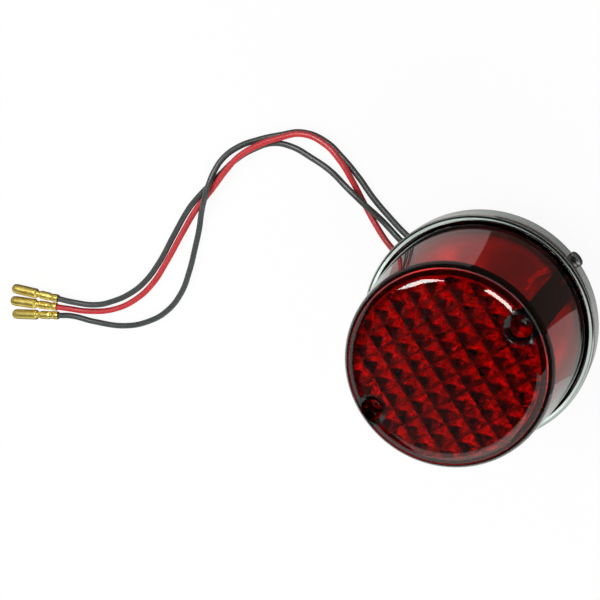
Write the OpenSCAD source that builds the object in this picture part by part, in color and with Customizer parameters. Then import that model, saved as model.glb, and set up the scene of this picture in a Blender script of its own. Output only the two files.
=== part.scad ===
// Round tail light for a motorcycle.
// The lamp stands on its rubber mounting pad: the pad's back is at z = 0 and the
// lens looks along +Z. X runs through the two lens screws. All sizes in millimetres.

/* [Mounting pad] */
// Thickness of the rubber pad behind the base
pad_t = 4; // [3.5:0.5:8]
// How far the pad's edge lies inside the pan's edge
pad_edge = 4.2; // [3:0.1:6]
// Width of the slot that lets the wires out
pad_slot_w = 15; // [14:0.5:20]

/* [Base pan] */
// Thickness of the pan's sheet steel
pan_t = 1.2; // [0.8:0.1:1.5]
// Thickness of the pan's drawn side wall
pan_wall = 0.9; // [0.7:0.1:1]
// Outer radius of the raised middle that carries the bulb holder
hat_r = 17; // [16.5:0.5:20]
// Height of the raised middle above the pan's floor
hat_h = 6; // [5.5:0.5:9]
// Radius of the grommet's hole in the raised middle
grommet_hole_r = 4; // [3.5:0.1:4.3]
// How far each mounting nut's centre lies inside the lens's edge
nut_edge = 10.4; // [9.4:0.1:12]
// Direction of the line through the mounting nuts
nut_way = 45; // [40:1:60]

/* [Chrome rim] */
// Outer radius of the rim
rim_r = 40; // [39.8:0.1:44]
// Depth of the rim, front to back
rim_h = 12; // [11.5:0.5:16]
// Thickness of the rim's sheet brass
rim_wall = 0.7; // [0.5:0.1:0.8]
// Radius of the rim's front outer corner
rim_corner_r = 1.2; // [0.9:0.1:1.6]
// Width of the rim's front face
rim_lip = 1.8; // [1.7:0.1:2]
// Direction of the first of the two rim screws
rim_screw_way = 5; // [0:1:20]

/* [Lens] */
// Gap between the lens and the rim's front edge
lens_gap = 0.8; // [0.5:0.1:1.5]
// How much smaller the lens's radius is at its front
lens_taper = 4.2; // [2:0.1:5]
// Thickness of the lens's walls
lens_wall = 2.6; // [2:0.1:3]
// Radius of the lens's front corner
lens_corner_r = 4.5; // [3:0.5:5]
// Spacing of the pyramids on the inside of the lens's front
prism_pitch = 6; // [4:0.5:8]
// Height of the pyramids
prism_depth = 1.8; // [1:0.1:2.4]
// Width of the flat left on the pyramids' tips
prism_flat = 0.4; // [0.2:0.1:0.8]
// Width of the plain ring round the pyramids
prism_edge = 2; // [1:0.1:4]
// Thickness of the rubber ring under the lens
gasket_t = 3; // [2.8:0.1:4]
// Radial width of the rubber ring under the lens
gasket_w = 3.6; // [3:0.1:4]
// Room between the bulb and the pyramids
bulb_room = 4.1; // [3:0.1:12]

/* [Lens screws] */
// How far each lens screw's axis lies inside the lens's front edge
screw_edge = 5.6; // [5.2:0.1:9]
// Radius of the screw thread
screw_r = 1.75; // [1.5:0.05:2]
// How far the screw goes into its post
thread_len = 7.2; // [5:0.1:8.5]
// Radius of the screw head
screw_head_r = 3; // [2.7:0.1:3.3]
// Height of the screw head
screw_head_h = 2.6; // [2:0.1:3]
// Thickness of the washer under the screw head
washer_t = 1; // [0.5:0.1:1.5]
// Depth of the washer's seat below the lens's front
seat_depth = 14; // [12:1:15]
// Wall of the tubes that the screws pass through
tube_wall = 1.6; // [1.4:0.1:1.7]
// Width of the dished mouth round each screw hole
mouth_w = 1.8; // [1.8:0.1:2.2]
// Depth of the dished mouth
mouth_depth = 1.6; // [1:0.1:2]
// Height of the threaded posts
post_h = 10; // [9:0.5:11]
// Width of the posts across their flats
post_w = 7; // [6:0.5:8]

/* [Bulb holder and reflector] */
// Thickness of the holder's sheet
holder_wall = 0.7; // [0.5:0.1:0.9]
// Height of the holder's mouth above the bulb's upper pin
holder_over = 1.5; // [1:0.1:3]
// How far the holder's foot lies inside the edge of the raised middle
foot_edge = 2.5; // [1:0.1:3]
// Thickness of the holder's foot
foot_t = 0.8; // [0.5:0.1:1]
// Direction of the first rivet
rivet_way = -40; // [-45:1:-35]
// Thickness of the reflector's sheet
reflector_t = 0.6; // [0.4:0.1:1]
// Height of the reflector's edge above its hub
reflector_rise = 8; // [6:0.5:10]
// Gap between the reflector's edge and the lens
reflector_gap = 1.4; // [1:0.1:2.4]

/* [Bulb] */
// Radius of the bulb's brass cap
cap_r = 7.5; // [7:0.1:8]
// Length of the bulb's brass cap
cap_len = 15; // [14.5:0.5:16]
// Radius of the bulb's glass
globe_r = 9.25; // [9:0.25:11]
// Length of the whole bulb
bulb_len = 37.5; // [36:0.5:40]
// Height of the brake filament above the cap
stop_light_h = 12; // [11:0.5:13]
// Height of the tail filament above the cap
tail_light_h = 9; // [8:0.5:10]
// Radius of the bulb's locating pins
pin_r = 1; // [0.8:0.1:1.1]
// Height of the lower pin above the bulb's contacts
pin_low = 9; // [8.5:0.1:9.5]
// Height of the upper pin above the lower one
pin_step = 3; // [2.5:0.1:3.2]
// How far the bulb is pushed in before it turns
bulb_push = 2; // [1:0.1:2.4]
// How far the bulb turns to unlock
bulb_turn = 20; // [15:1:25]
// Spacing of the two contacts
contact_spacing = 7; // [6:0.5:8]

/* [Spring and contact plate] */
// Length of the spring with the bulb in place
spring_len = 5.8; // [5.4:0.1:7]
// Radius of the spring wire
spring_wire_r = 0.35; // [0.25:0.05:0.45]
// Number of turns of the spring
spring_turns = 3; // [2:1:4]
// Thickness of the contact plate
plate_t = 2; // [1.5:0.1:2.5]

/* [Wires] */
// Radius of each wire over its sheath
wire_r = 1.1; // [0.8:0.05:1.1]
// Radius of each bullet terminal's head
bullet_r = 1.95; // [1.8:0.05:1.95]
// Length of each bullet terminal
bullet_len = 20; // [18:1:24]
// Radius of each terminal's crimped barrel
barrel_r = 1.6; // [1.5:0.05:1.6]

/* [Hidden] */
$fn = 64;

// Clearances, each a gap on one side.
thread_gap = 0.05;    // a screw in its thread
hole_gap = 0.3;       // a screw through a plain hole
press_gap = 0.02;     // a rivet or pin pressed in its hole
rim_gap = 0.1;        // the rim slipped over the pan
rim_roof_gap = 0.5;   // the pan's wall below the rim's front
post_gap = 0.5;       // the lens's tubes above the posts
tube_gap = 0.6;       // the lens's tubes in the reflector
cap_gap = 0.1;        // the bulb's cap, and the contact plate, in the holder
slot_gap = 0.1;       // the bulb's pins in the holder's slots
spring_gap = 0.3;     // the spring's turns in the holder
hub_gap = 0.2;        // the reflector round the holder
pad_gap = 1;          // the pad round the raised middle
rivet_gap = 0.5;      // a rivet's head from the holder's tube
wire_gap = 0.2;       // the earth tag's barrel below its ring
over = 1;             // how far a cut runs past a face
sink = 0.2;           // how far a shank runs up into its head

// Heights of the main faces.
pan_z = pad_t;
floor_z = pan_z + pan_t;
hat_z = floor_z + hat_h;
rim_front_z = pan_z + rim_h;
lens_foot_z = floor_z + gasket_t;
lens_step_z = rim_front_z + 1;
post_top_z = floor_z + post_h;
hub_z = hat_z + foot_t;
tip_h = 1;
contact_h = 1;
insulator_h = 1;
plate_z = hat_z + spring_len;
bulb_z = plate_z + plate_t + tip_h;
cap_z = bulb_z + contact_h + insulator_h;
cap_top_z = cap_z + cap_len;
bulb_top_z = bulb_z + bulb_len;
holder_top_z = bulb_z + pin_low + pin_step + pin_r + holder_over;
prism_z = bulb_top_z + bulb_room;
face_z = prism_z + prism_depth + lens_wall;
seat_z = face_z - seat_depth;
head_z = seat_z + washer_t;
screw_len = head_z - post_top_z + thread_len;

// Radii that follow from the driving sizes.
pan_r = rim_r - rim_wall - rim_gap;
pan_in_r = pan_r - pan_wall;
pad_r = pan_r - pad_edge;
lip_in_r = rim_r - rim_lip;
lens_base_r = lip_in_r - lens_gap;
lens_front_r = lens_base_r - lens_taper;
lens_in_r = lens_base_r - lens_wall;
lens_top_in_r = lens_front_r - lens_wall;
lens_screw_r = lens_front_r - screw_edge;
screw_bore_r = screw_r + hole_gap;
head_bore_r = screw_head_r + hole_gap;
tube_r = head_bore_r + tube_wall;
mouth_r = head_bore_r + mouth_w;
nut_place_r = lens_base_r - nut_edge;
gasket_edge = 0.6;
gasket_out_r = lens_base_r - gasket_edge;
holder_bore_r = cap_r + cap_gap;
holder_r = holder_bore_r + holder_wall;
foot_r = hat_r - foot_edge;
rivet_place_r = (holder_r + foot_r) / 2;
reflector_r = lens_in_r - reflector_gap;

// Small pieces.
rim_screw_r = 1.5;
rim_screw_past = 0.5;
rim_screw_len = rim_r - pan_in_r + rim_screw_past;
rim_screw_head_r = 2.75;
rim_screw_head_h = 1.9;
rim_screw_z = floor_z + rim_screw_r + rim_gap;
rib_step = 0.3;
rim_screw_slot_w = 0.6;
rim_screw_slot_depth = 1;
lens_screw_slot_w = 0.8;
lens_screw_slot_depth = 1.5;
nut_thread_r = 2.1;
nut_w = 8;
nut_h = 4;
nut_bolt_r = 2.75;
post_spigot_r = 2.8;
rivet_r = 1.5;
rivet_head_r = (foot_r - holder_r) / 2 - rivet_gap;
rivet_head_h = 1;
tag_t = 0.8;
tag_r = 3.2;
tag_neck_w = 2.4;
tag_barrel_len = 5;
tag_wire_z = hat_z - pan_t - barrel_r - wire_gap;
grommet_lip = 0.9;
grommet_lip_h = 1.2;
grommet_foot_z = hat_z - pan_t - grommet_lip_h;
grommet_top_z = hat_z + grommet_lip_h;
tip_r = 1.6;
tip_shank_r = 1.2;
tip_head_r = 1.8;
tip_head_h = 0.8;
plate_r = holder_bore_r - cap_gap;
spring_coil_r = plate_r - spring_wire_r - spring_gap;
lead_rise = 0.3;
lead_end = 0.6;
cap_wall = 0.5;
insulator_slope = 1.1;
neck_r = cap_r - cap_wall - press_gap;
neck_len = 4;
neck_step = 0.4;
shoulder_h = 5;
glass_wall = 0.5;
pin_past = 0.6;
pin_way = 90;
stem_r = 2.4;
stem_h = 7.7;
stem_tip_h = 0.3;
filament_len = 6;
filament_r = 0.4;
filament_side = 1.6;
support_r = 0.25;
support_foot = [1.2, 0.6, cap_top_z + 3];
stop_filament_z = cap_top_z + stop_light_h;
tail_filament_z = cap_top_z + tail_light_h;
bullet_barrel_share = 0.4;
bullet_neck_len = 1;
bullet_nose_r = 0.9;

// The wires' routes. Each ends where its terminal starts and in the terminal's direction.
stop_route = [
    [-1.5, -0.5, grommet_foot_z], [-1.5, -0.5, grommet_foot_z - 1], [-1.8, 0.5, 4.6], [-2.8, 3.4, 1.9],
    [-4.6, 8.5, 1.2], [-8.5, 19, 1.2], [-12.5, 30, 1.2], [-14.87, 39.5, 1.2], [-15.2, 49.2, 1.2],
    [-14.67, 58.23, 1.2], [-13.59, 66.33, 2.69], [-13.29, 74.41, 3.55], [-14.8, 82, 3.58],
    [-19.9, 89.39, 3.59], [-28.29, 92.98, 3.6], [-36.58, 95.06, 3.6], [-45.36, 95.49, 3.59],
    [-52.71, 93.84, 3.48], [-59.63, 91.71, 2.69], [-66.12, 89.95, 1.8], [-71.58, 88.41, 1.2],
    [-81.45, 83.97, 1.2], [-93.78, 78.04, 1.2], [-103.29, 74.17, 1.2], [-113.1, 72.57, 1.2],
    [-123.51, 73.85, 1.2], [-134, 78.8, 1.3], [-140.5, 83.8, 2], [-144.5, 86.8, 2]
];
tail_route = [
    [1.5, 0.5, grommet_foot_z], [1.5, 0.5, grommet_foot_z - 1], [1.2, 1.5, 4.6], [0.3, 4.3, 1.9],
    [-1.3, 9.4, 1.2], [-4.8, 20, 1.2], [-8.3, 31, 1.2], [-10.51, 39.6, 1.29], [-12.37, 48.7, 1.45],
    [-14.07, 56.69, 3.75], [-16.26, 65.06, 3.89], [-18.89, 73.28, 1.92], [-22.6, 80.98, 1.25],
    [-26.61, 87.96, 1.22], [-32.03, 92.81, 1.21], [-39.53, 94.98, 1.2], [-47.84, 95.4, 1.2],
    [-55.77, 94.2, 1.2], [-62.97, 92.89, 1.2], [-68.89, 91.63, 1.2], [-74.16, 90.07, 1.2],
    [-84.83, 85.12, 1.2], [-96.22, 79.55, 1.2], [-105.51, 76.42, 1.2], [-113.4, 75.61, 1.2],
    [-122.5, 76.8, 1.2], [-129.5, 79.2, 1.3], [-137.3, 85, 2], [-142, 89.2, 2]
];
earth_route = [
    [7.2, 1.5, tag_wire_z], [6.95, 2.9, tag_wire_z], [5.3, 5.6, 6.5], [3.9, 8.3, 3.7], [2.9, 11, 1.7],
    [1.9, 14.2, 1.2], [-2.8, 27, 1.2], [-7.5, 39.6, 1.2], [-9.5, 48.6, 1.2], [-10.8, 56.9, 1.2],
    [-11.4, 66.1, 1.2], [-12.7, 75.01, 1.2], [-14.7, 82.61, 1.2], [-20.09, 89.94, 1.2],
    [-28.68, 94.08, 1.21], [-36.08, 96.8, 1.22], [-44.2, 98.75, 1.24], [-51.41, 98.44, 1.69],
    [-56.43, 96.26, 2.92], [-60.68, 93.12, 4.42], [-65.1, 89.72, 4.43], [-69.84, 86.41, 2.34],
    [-74.72, 81.76, 1.35], [-80.31, 76.68, 1.26], [-87.4, 70.59, 1.23], [-95.2, 65.3, 1.21],
    [-104.5, 62.4, 1.2], [-113.6, 62.8, 1.2], [-123.2, 66.1, 1.2], [-134, 74, 1.3], [-141, 80.7, 2],
    [-146, 83.7, 2]
];
wire_sides = 8;

// The slot in the pad lies along the wires where they cross the pad.
slot_middle = (stop_route[6] + earth_route[6]) / 2;
wire_way = atan2(slot_middle[1], slot_middle[0]);
// The earth tag points from its rivet to the start of the earth wire.
tag_reach = earth_route[0] - rivet_place_r * [cos(rivet_way), sin(rivet_way), 0];
tag_way = atan2(tag_reach[1], tag_reach[0]);
tag_barrel_at = norm([tag_reach[0], tag_reach[1]]) - tag_barrel_len;

// ---- helpers ----

// A point at a distance and a direction from the lamp's axis.
module at(r, way, z = 0) {
    rotate(way) translate([r, 0, z]) children();
}

// A tube standing on z.
module ring(r_out, r_in, z, h) {
    translate([0, 0, z]) difference() {
        cylinder(r = r_out, h = h);
        translate([0, 0, -over]) cylinder(r = r_in, h = h + 2 * over);
    }
}

// A plain vertical hole through everything between two heights.
module hole(r, z0, z1) {
    translate([0, 0, z0 - over]) cylinder(r = r, h = z1 - z0 + 2 * over);
}

// A round bar from one point to another.
module bar(p, q, r) {
    d = q - p;
    translate(p)
        rotate([0, acos(d[2] / norm(d)), atan2(d[1], d[0])])
            cylinder(r = r, h = norm(d), $fn = 24);
}

// A flat profile with its outer top corner rounded, from the axis out to r.
module rounded_block(r, z0, z1, corner) {
    translate([0, z0]) square([r, z1 - z0 - corner]);
    translate([0, z0]) square([r - corner, z1 - z0]);
    translate([r - corner, z1 - corner]) circle(r = corner);
}

// Two crossed slots for a screwdriver, cut down from z = 0.
module cross_slot(length, width, depth) {
    for (turn = [0, 90])
        rotate(turn) translate([-length / 2, -width / 2, -depth]) cube([length, width, depth + over]);
}

// A screw's head: a straight side and a sloping edge.
module screw_head(r, h) {
    side_h = 0.6 * h;
    cylinder(r = r, h = side_h);
    translate([0, 0, side_h]) cylinder(r1 = r, r2 = 0.75 * r, h = h - side_h);
}

// ---- base ----

module mounting_pad() {
    color("#26282a") difference() {
        ring(pad_r, hat_r + pad_gap, 0, pad_t);
        rotate(wire_way) translate([0, -pad_slot_w / 2, -over])
            cube([pad_r + over, pad_slot_w, pad_t + 2 * over]);
        for (side = [0, 180])
            at(nut_place_r, nut_way + side) hole(nut_bolt_r, 0, pad_t);
        for (side = [-1, 1])
            translate([side * lens_screw_r, 0, 0]) hole(post_spigot_r, 0, pad_t);
    }
}

module base_pan() {
    color("#b9bcbf") difference() {
        union() {
            ring(pan_r, hat_r - pan_t, pan_z, pan_t);
            ring(pan_r, pan_in_r, pan_z, rim_h - rim_wall - rim_roof_gap);
            ring(hat_r, hat_r - pan_t, pan_z, hat_h + pan_t);
            ring(hat_r, grommet_hole_r, hat_z - pan_t, pan_t);
        }
        for (side = [0, 180]) {
            at(nut_place_r, nut_way + side) hole(nut_bolt_r, pan_z, floor_z);
            at(rivet_place_r, rivet_way + side) hole(rivet_r + press_gap, hat_z - pan_t, hat_z);
            rotate(rim_screw_way + side) translate([pan_in_r - over, 0, rim_screw_z])
                rotate([0, 90, 0]) cylinder(r = rim_screw_r + thread_gap, h = pan_wall + 2 * over);
        }
        for (side = [-1, 1])
            translate([side * lens_screw_r, 0, 0]) hole(post_spigot_r, pan_z, floor_z);
    }
}

module chrome_rim() {
    color("#cdd2d4") difference() {
        rotate_extrude() difference() {
            rounded_block(rim_r, pan_z, rim_front_z, rim_corner_r);
            translate([0, -over]) rounded_block(rim_r - rim_wall, pan_z, rim_front_z - rim_wall + over,
                rim_corner_r - rim_wall);
            square([lip_in_r, rim_front_z + over]);
        }
        for (side = [0, 180])
            rotate(rim_screw_way + side) translate([lip_in_r, 0, rim_screw_z])
                rotate([0, 90, 0]) cylinder(r = rim_screw_r + hole_gap, h = rim_lip + over);
    }
}

module rim_screw() {
    difference() {
        union() {
            translate([0, 0, -rim_screw_len]) cylinder(r = rim_screw_r, h = rim_screw_len + sink);
            screw_head(rim_screw_head_r, rim_screw_head_h);
        }
        translate([0, 0, rim_screw_head_h])
            cross_slot(rim_screw_head_r, rim_screw_slot_w, rim_screw_slot_depth);
    }
}

module rim_screws() {
    color("#c4c8ca")
        for (side = [0, 180])
            rotate(rim_screw_way + side) translate([rim_r, 0, rim_screw_z]) rotate([0, 90, 0]) rim_screw();
}

module mount_nuts() {
    color("#c9b27a")
        for (side = [0, 180])
            at(nut_place_r, nut_way + side, floor_z) difference() {
                cylinder(d = nut_w / cos(30), h = nut_h, $fn = 6);
                hole(nut_thread_r, 0, nut_h);
            }
}

module lens_posts() {
    color("#c9b27a")
        for (side = [-1, 1])
            translate([side * lens_screw_r, 0, 0]) difference() {
                union() {
                    translate([0, 0, floor_z]) rotate(30) cylinder(d = post_w / cos(30), h = post_h, $fn = 6);
                    translate([0, 0, pan_z]) cylinder(r = post_spigot_r - press_gap, h = pan_t + sink);
                }
                hole(screw_r + thread_gap, pan_z, post_top_z);
            }
}

// ---- lens ----

module lens_gasket() {
    color("#1d1f20") ring(gasket_out_r, gasket_out_r - gasket_w, floor_z, gasket_t);
}

module lens_outside() {
    rotate_extrude() {
        polygon([
            [0, lens_foot_z], [lens_base_r, lens_foot_z], [lens_base_r, lens_step_z],
            [lens_front_r, face_z - lens_corner_r], [lens_front_r - lens_corner_r, face_z - lens_corner_r],
            [lens_front_r - lens_corner_r, face_z], [0, face_z]
        ]);
        translate([lens_front_r - lens_corner_r, face_z - lens_corner_r]) circle(r = lens_corner_r);
    }
}

module lens_hollow() {
    rotate_extrude() polygon([
        [0, lens_foot_z - over], [lens_in_r, lens_foot_z - over], [lens_in_r, lens_step_z],
        [lens_top_in_r, prism_z], [0, prism_z]
    ]);
}

// Crossed V grooves, which leave pyramids between them.
module prism_grooves() {
    field_r = lens_top_in_r - prism_edge;
    rows = ceil(field_r / prism_pitch);
    half = (prism_pitch - prism_flat) / 2;
    below = 0.2;
    spread = half * (1 + below / prism_depth);
    intersection() {
        translate([0, 0, prism_z - below]) cylinder(r = field_r, h = prism_depth + 2 * below);
        for (turn = [0, 90], row = [-rows : rows])
            rotate(turn) translate([(row + 0.5) * prism_pitch, lens_front_r, prism_z]) rotate([90, 0, 0])
                linear_extrude(height = 2 * lens_front_r)
                    polygon([[-spread, -below], [spread, -below], [0, prism_depth]]);
    }
}

// The tube round one screw, with a rib out to the lens's side wall. Room widens it for a cut.
module screw_boss(side, z0, z1, room = 0) {
    rib_half = tube_r - rib_step + room;
    translate([side * lens_screw_r, 0, z0]) {
        cylinder(r = tube_r + room, h = z1 - z0);
        rotate(side > 0 ? 0 : 180) translate([0, -rib_half, 0])
            cube([lens_base_r - lens_screw_r, 2 * rib_half, z1 - z0]);
    }
}

module lens() {
    boss_z = post_top_z + post_gap;
    color("#a8121c") difference() {
        lens_outside();
        difference() {
            union() {
                lens_hollow();
                prism_grooves();
            }
            for (side = [-1, 1]) screw_boss(side, boss_z, face_z);
        }
        for (side = [-1, 1])
            translate([side * lens_screw_r, 0, 0]) rotate_extrude() polygon([
                [0, boss_z - over], [screw_bore_r, boss_z - over], [screw_bore_r, seat_z],
                [head_bore_r, seat_z], [head_bore_r, face_z - mouth_depth], [mouth_r, face_z],
                [mouth_r, face_z + over], [0, face_z + over]
            ]);
    }
}

module lens_screw(side) {
    color("#c4c8ca") translate([side * lens_screw_r, 0, head_z]) difference() {
        union() {
            translate([0, 0, -screw_len]) cylinder(r = screw_r, h = screw_len + sink);
            screw_head(screw_head_r, screw_head_h);
        }
        translate([0, 0, screw_head_h])
            cross_slot(1.2 * screw_head_r, lens_screw_slot_w, lens_screw_slot_depth);
    }
}

module lens_screw_left() {
    lens_screw(-1);
}

module lens_screw_right() {
    lens_screw(1);
}

module screw_washers() {
    color("#2a2c2e")
        for (side = [-1, 1])
            translate([side * lens_screw_r, 0, 0])
                ring(screw_head_r, screw_r + thread_gap, seat_z, washer_t);
}

// ---- bulb holder and reflector ----

module reflector() {
    slope = reflector_rise / (reflector_r - foot_r);
    color("#dfe2e4") difference() {
        rotate_extrude() polygon([
            [holder_r + hub_gap, hub_z], [foot_r, hub_z], [reflector_r, hub_z + reflector_rise],
            [reflector_r, hub_z + reflector_rise + reflector_t],
            [foot_r - slope * reflector_t, hub_z + reflector_t],
            [holder_r + hub_gap, hub_z + reflector_t]
        ]);
        for (side = [-1, 1]) screw_boss(side, hub_z, hub_z + 2 * reflector_rise, tube_gap);
        for (side = [0, 180])
            at(rivet_place_r, rivet_way + side) hole(rivet_r + press_gap, hub_z, hub_z + reflector_t);
    }
}

// A block cut out of the holder's wall between two directions and two heights.
module wall_window(from_way, to_way, z0, z1) {
    translate([0, 0, z0]) rotate(from_way) rotate_extrude(angle = to_way - from_way)
        translate([holder_bore_r - over, 0]) square([holder_wall + 2 * over, z1 - z0]);
}

// The way that one pin takes: down from the holder's mouth, then round to its lock.
module pin_slot(pin_z) {
    half = pin_r + slot_gap;
    half_way = asin(half / holder_bore_r);
    low = pin_z - bulb_push - half;
    wall_window(-half_way, bulb_turn, low, pin_z + half);
    wall_window(bulb_turn - half_way, bulb_turn + half_way, low, holder_top_z + over);
}

module bulb_holder() {
    color("#c2a45c") difference() {
        rotate_extrude() polygon([
            [holder_bore_r, hat_z], [foot_r, hat_z], [foot_r, hub_z], [holder_r, hub_z],
            [holder_r, holder_top_z], [holder_bore_r, holder_top_z]
        ]);
        rotate(pin_way) pin_slot(bulb_z + pin_low);
        rotate(pin_way + 180) pin_slot(bulb_z + pin_low + pin_step);
        for (side = [0, 180])
            at(rivet_place_r, rivet_way + side) hole(rivet_r + press_gap, hat_z, hub_z);
    }
}

module rivet(bottom_z) {
    top_z = hub_z + reflector_t;
    translate([0, 0, bottom_z]) cylinder(r = rivet_r, h = top_z - bottom_z);
    translate([0, 0, top_z]) cylinder(r1 = rivet_head_r, r2 = 0.6 * rivet_head_r, h = rivet_head_h);
    translate([0, 0, bottom_z - rivet_head_h])
        cylinder(r1 = 0.6 * rivet_head_r, r2 = rivet_head_r, h = rivet_head_h);
}

module holder_rivets() {
    color("#b7babc") {
        at(rivet_place_r, rivet_way) rivet(hat_z - pan_t - tag_t);
        at(rivet_place_r, rivet_way + 180) rivet(hat_z - pan_t);
    }
}

module earth_tag() {
    color("#c9cccd") rotate(rivet_way) translate([rivet_place_r, 0, hat_z - pan_t - tag_t])
        rotate(tag_way - rivet_way) difference() {
            union() {
                cylinder(r = tag_r, h = tag_t);
                translate([0, -tag_neck_w / 2, 0]) cube([tag_barrel_at + over, tag_neck_w, tag_t]);
                translate([tag_barrel_at, 0, tag_t - barrel_r - wire_gap]) rotate([0, 90, 0])
                    cylinder(r = barrel_r, h = tag_barrel_len);
            }
            hole(rivet_r + press_gap, 0, tag_t);
        }
}

module grommet() {
    color("#1d1f20") difference() {
        union() {
            translate([0, 0, grommet_foot_z])
                cylinder(r = grommet_hole_r + grommet_lip, h = grommet_lip_h);
            translate([0, 0, grommet_foot_z])
                cylinder(r = grommet_hole_r, h = grommet_top_z - grommet_foot_z);
            translate([0, 0, hat_z]) cylinder(r = grommet_hole_r + grommet_lip, h = grommet_lip_h);
        }
        for (route = [stop_route, tail_route])
            translate([route[0][0], route[0][1], 0]) hole(wire_r, grommet_foot_z, grommet_top_z);
    }
}

// ---- contact plate ----

module contact_plate() {
    color("#8a4b22") difference() {
        translate([0, 0, plate_z]) cylinder(r = plate_r, h = plate_t);
        for (side = [-1, 1])
            translate([side * contact_spacing / 2, 0, 0])
                hole(tip_shank_r + press_gap, plate_z, plate_z + plate_t);
    }
}

module contact_tips() {
    top_z = plate_z + plate_t;
    color("#d9b95a")
        for (side = [-1, 1])
            translate([side * contact_spacing / 2, 0, 0]) {
                translate([0, 0, plate_z - tip_head_h])
                    cylinder(r = tip_head_r, h = tip_head_h);
                translate([0, 0, plate_z - tip_head_h]) cylinder(r = tip_shank_r, h = plate_t + tip_head_h);
                translate([0, 0, top_z]) cylinder(r = tip_r, h = tip_h / 2);
                translate([0, 0, top_z + tip_h / 2])
                    cylinder(r1 = tip_r, r2 = tip_r / 2, h = tip_h / 2);
            }
}

// Spring turns as a stack of closed and sloping rings, swept as one wire.
spring_steps = 16;
function spring_point(i) = let (
        turns = spring_turns + 2,
        at_turn = i / spring_steps,
        lift = max(0, min(spring_turns, at_turn - 1)) / spring_turns,
        low = hat_z + spring_wire_r,
        high = plate_z - spring_wire_r
    )
    [spring_coil_r * cos(360 * at_turn), spring_coil_r * sin(360 * at_turn), low + (high - low) * lift];

module contact_spring() {
    points = [for (i = [0 : spring_steps * (spring_turns + 2)]) spring_point(i)];
    color("#9ea3a6") sweep(points, spring_wire_r, 6, [1, 0, 0]);
}

// The inner end of a wire: up through the grommet and over to its contact.
module lead(start, side) {
    knee = [start[0], start[1], grommet_top_z + lead_rise];
    top = [side * contact_spacing / 2, 0, plate_z - tip_head_h];
    elbow = top - [0, 0, lead_end];
    sweep([start, knee, (knee + elbow) / 2, elbow, top], wire_r, wire_sides, wire_side);
}

module stop_lead() {
    color("#c01420") lead(stop_route[0], -1);
}

module tail_lead() {
    color("#1b1c1e") lead(tail_route[0], 1);
}

// ---- bulb ----

module bulb_cap() {
    color("#d2b060") difference() {
        ring(cap_r, cap_r - cap_wall, cap_z, cap_len);
        for (pin = [0, 1])
            rotate(pin_way + 180 * pin) translate([0, 0, bulb_z + pin_low + pin * pin_step])
                rotate([0, 90, 0]) cylinder(r = pin_r, h = cap_r + over, $fn = 32);
    }
}

module bulb_pins() {
    color("#c4a556")
        for (pin = [0, 1])
            rotate(pin_way + 180 * pin)
                translate([cap_r - cap_wall, 0, bulb_z + pin_low + pin * pin_step])
                    rotate([0, 90, 0])
                        cylinder(r = pin_r - press_gap, h = cap_wall + holder_wall + pin_past, $fn = 32);
}

module bulb_insulator() {
    color("#202024") {
        translate([0, 0, cap_z]) cylinder(r = cap_r - cap_wall, h = 2 * insulator_h);
        translate([0, 0, cap_z - insulator_h])
            cylinder(r1 = cap_r - cap_wall - insulator_slope, r2 = cap_r - cap_wall, h = insulator_h);
    }
}

module bulb_contacts() {
    color("#b9bcbe")
        for (side = [-1, 1])
            translate([side * contact_spacing / 2, 0, bulb_z]) {
                cylinder(r1 = 0.7 * tip_r, r2 = tip_r, h = contact_h / 2);
                translate([0, 0, contact_h / 2]) cylinder(r = tip_r, h = contact_h / 2);
            }
}

module bulb_profile(shrink) {
    foot = cap_top_z - neck_len + shrink;
    shoulder = cap_top_z + shoulder_h + shrink / 2;
    dome = bulb_top_z - globe_r;
    r = globe_r - shrink;
    neck = neck_r - shrink;
    polygon([
        [0, foot], [neck, foot], [neck, cap_top_z], [neck + neck_step, cap_top_z],
        [r, shoulder], [r, dome], [0, dome]
    ]);
    intersection() {
        translate([0, dome]) circle(r = r);
        translate([0, dome]) square([r, r]);
    }
}

module bulb_glass() {
    color("#dfe6ea") rotate_extrude() difference() {
        bulb_profile(0);
        bulb_profile(glass_wall);
    }
}

module bulb_stem() {
    color("#d5dde0") difference() {
        translate([0, 0, cap_top_z - neck_len + glass_wall]) {
            cylinder(r = stem_r, h = stem_h);
            translate([0, 0, stem_h]) cylinder(r1 = stem_r, r2 = 0.9 * stem_r, h = stem_tip_h);
        }
        supports(support_r + press_gap);
    }
}

// The four wires that hold the filaments, two from each side of the stem.
module supports(r) {
    for (end = [-1, 1], side = [-1, 1])
        bar(
            [end * support_foot[0], side * support_foot[1], support_foot[2]],
            [end * filament_len / 2, side * filament_side, side > 0 ? stop_filament_z : tail_filament_z],
            r
        );
}

module filament_supports() {
    color("#8f9396") supports(support_r);
}

module filament(y, z) {
    reach = filament_len / 2 - 2 * support_r;
    translate([-reach, y, z]) rotate([0, 90, 0]) cylinder(r = filament_r, h = 2 * reach, $fn = 24);
}

module stop_filament() {
    color("#6d6f72") filament(filament_side, stop_filament_z - filament_r);
}

module tail_filament() {
    color("#6d6f72") filament(-filament_side, tail_filament_z - filament_r);
}

// ---- wires and terminals ----

function unit(v) = v / norm(v);
function way_at(p, i) = unit(p[min(i + 1, len(p) - 1)] - p[max(i - 1, 0)]);
// A vector square to the route at point i, carried along from the start without twist.
function side_at(p, i, first) =
    i == 0 ? unit(first - (first * way_at(p, 0)) * way_at(p, 0))
    : let (before = side_at(p, i - 1, first), way = way_at(p, i)) unit(before - (before * way) * way);

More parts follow.
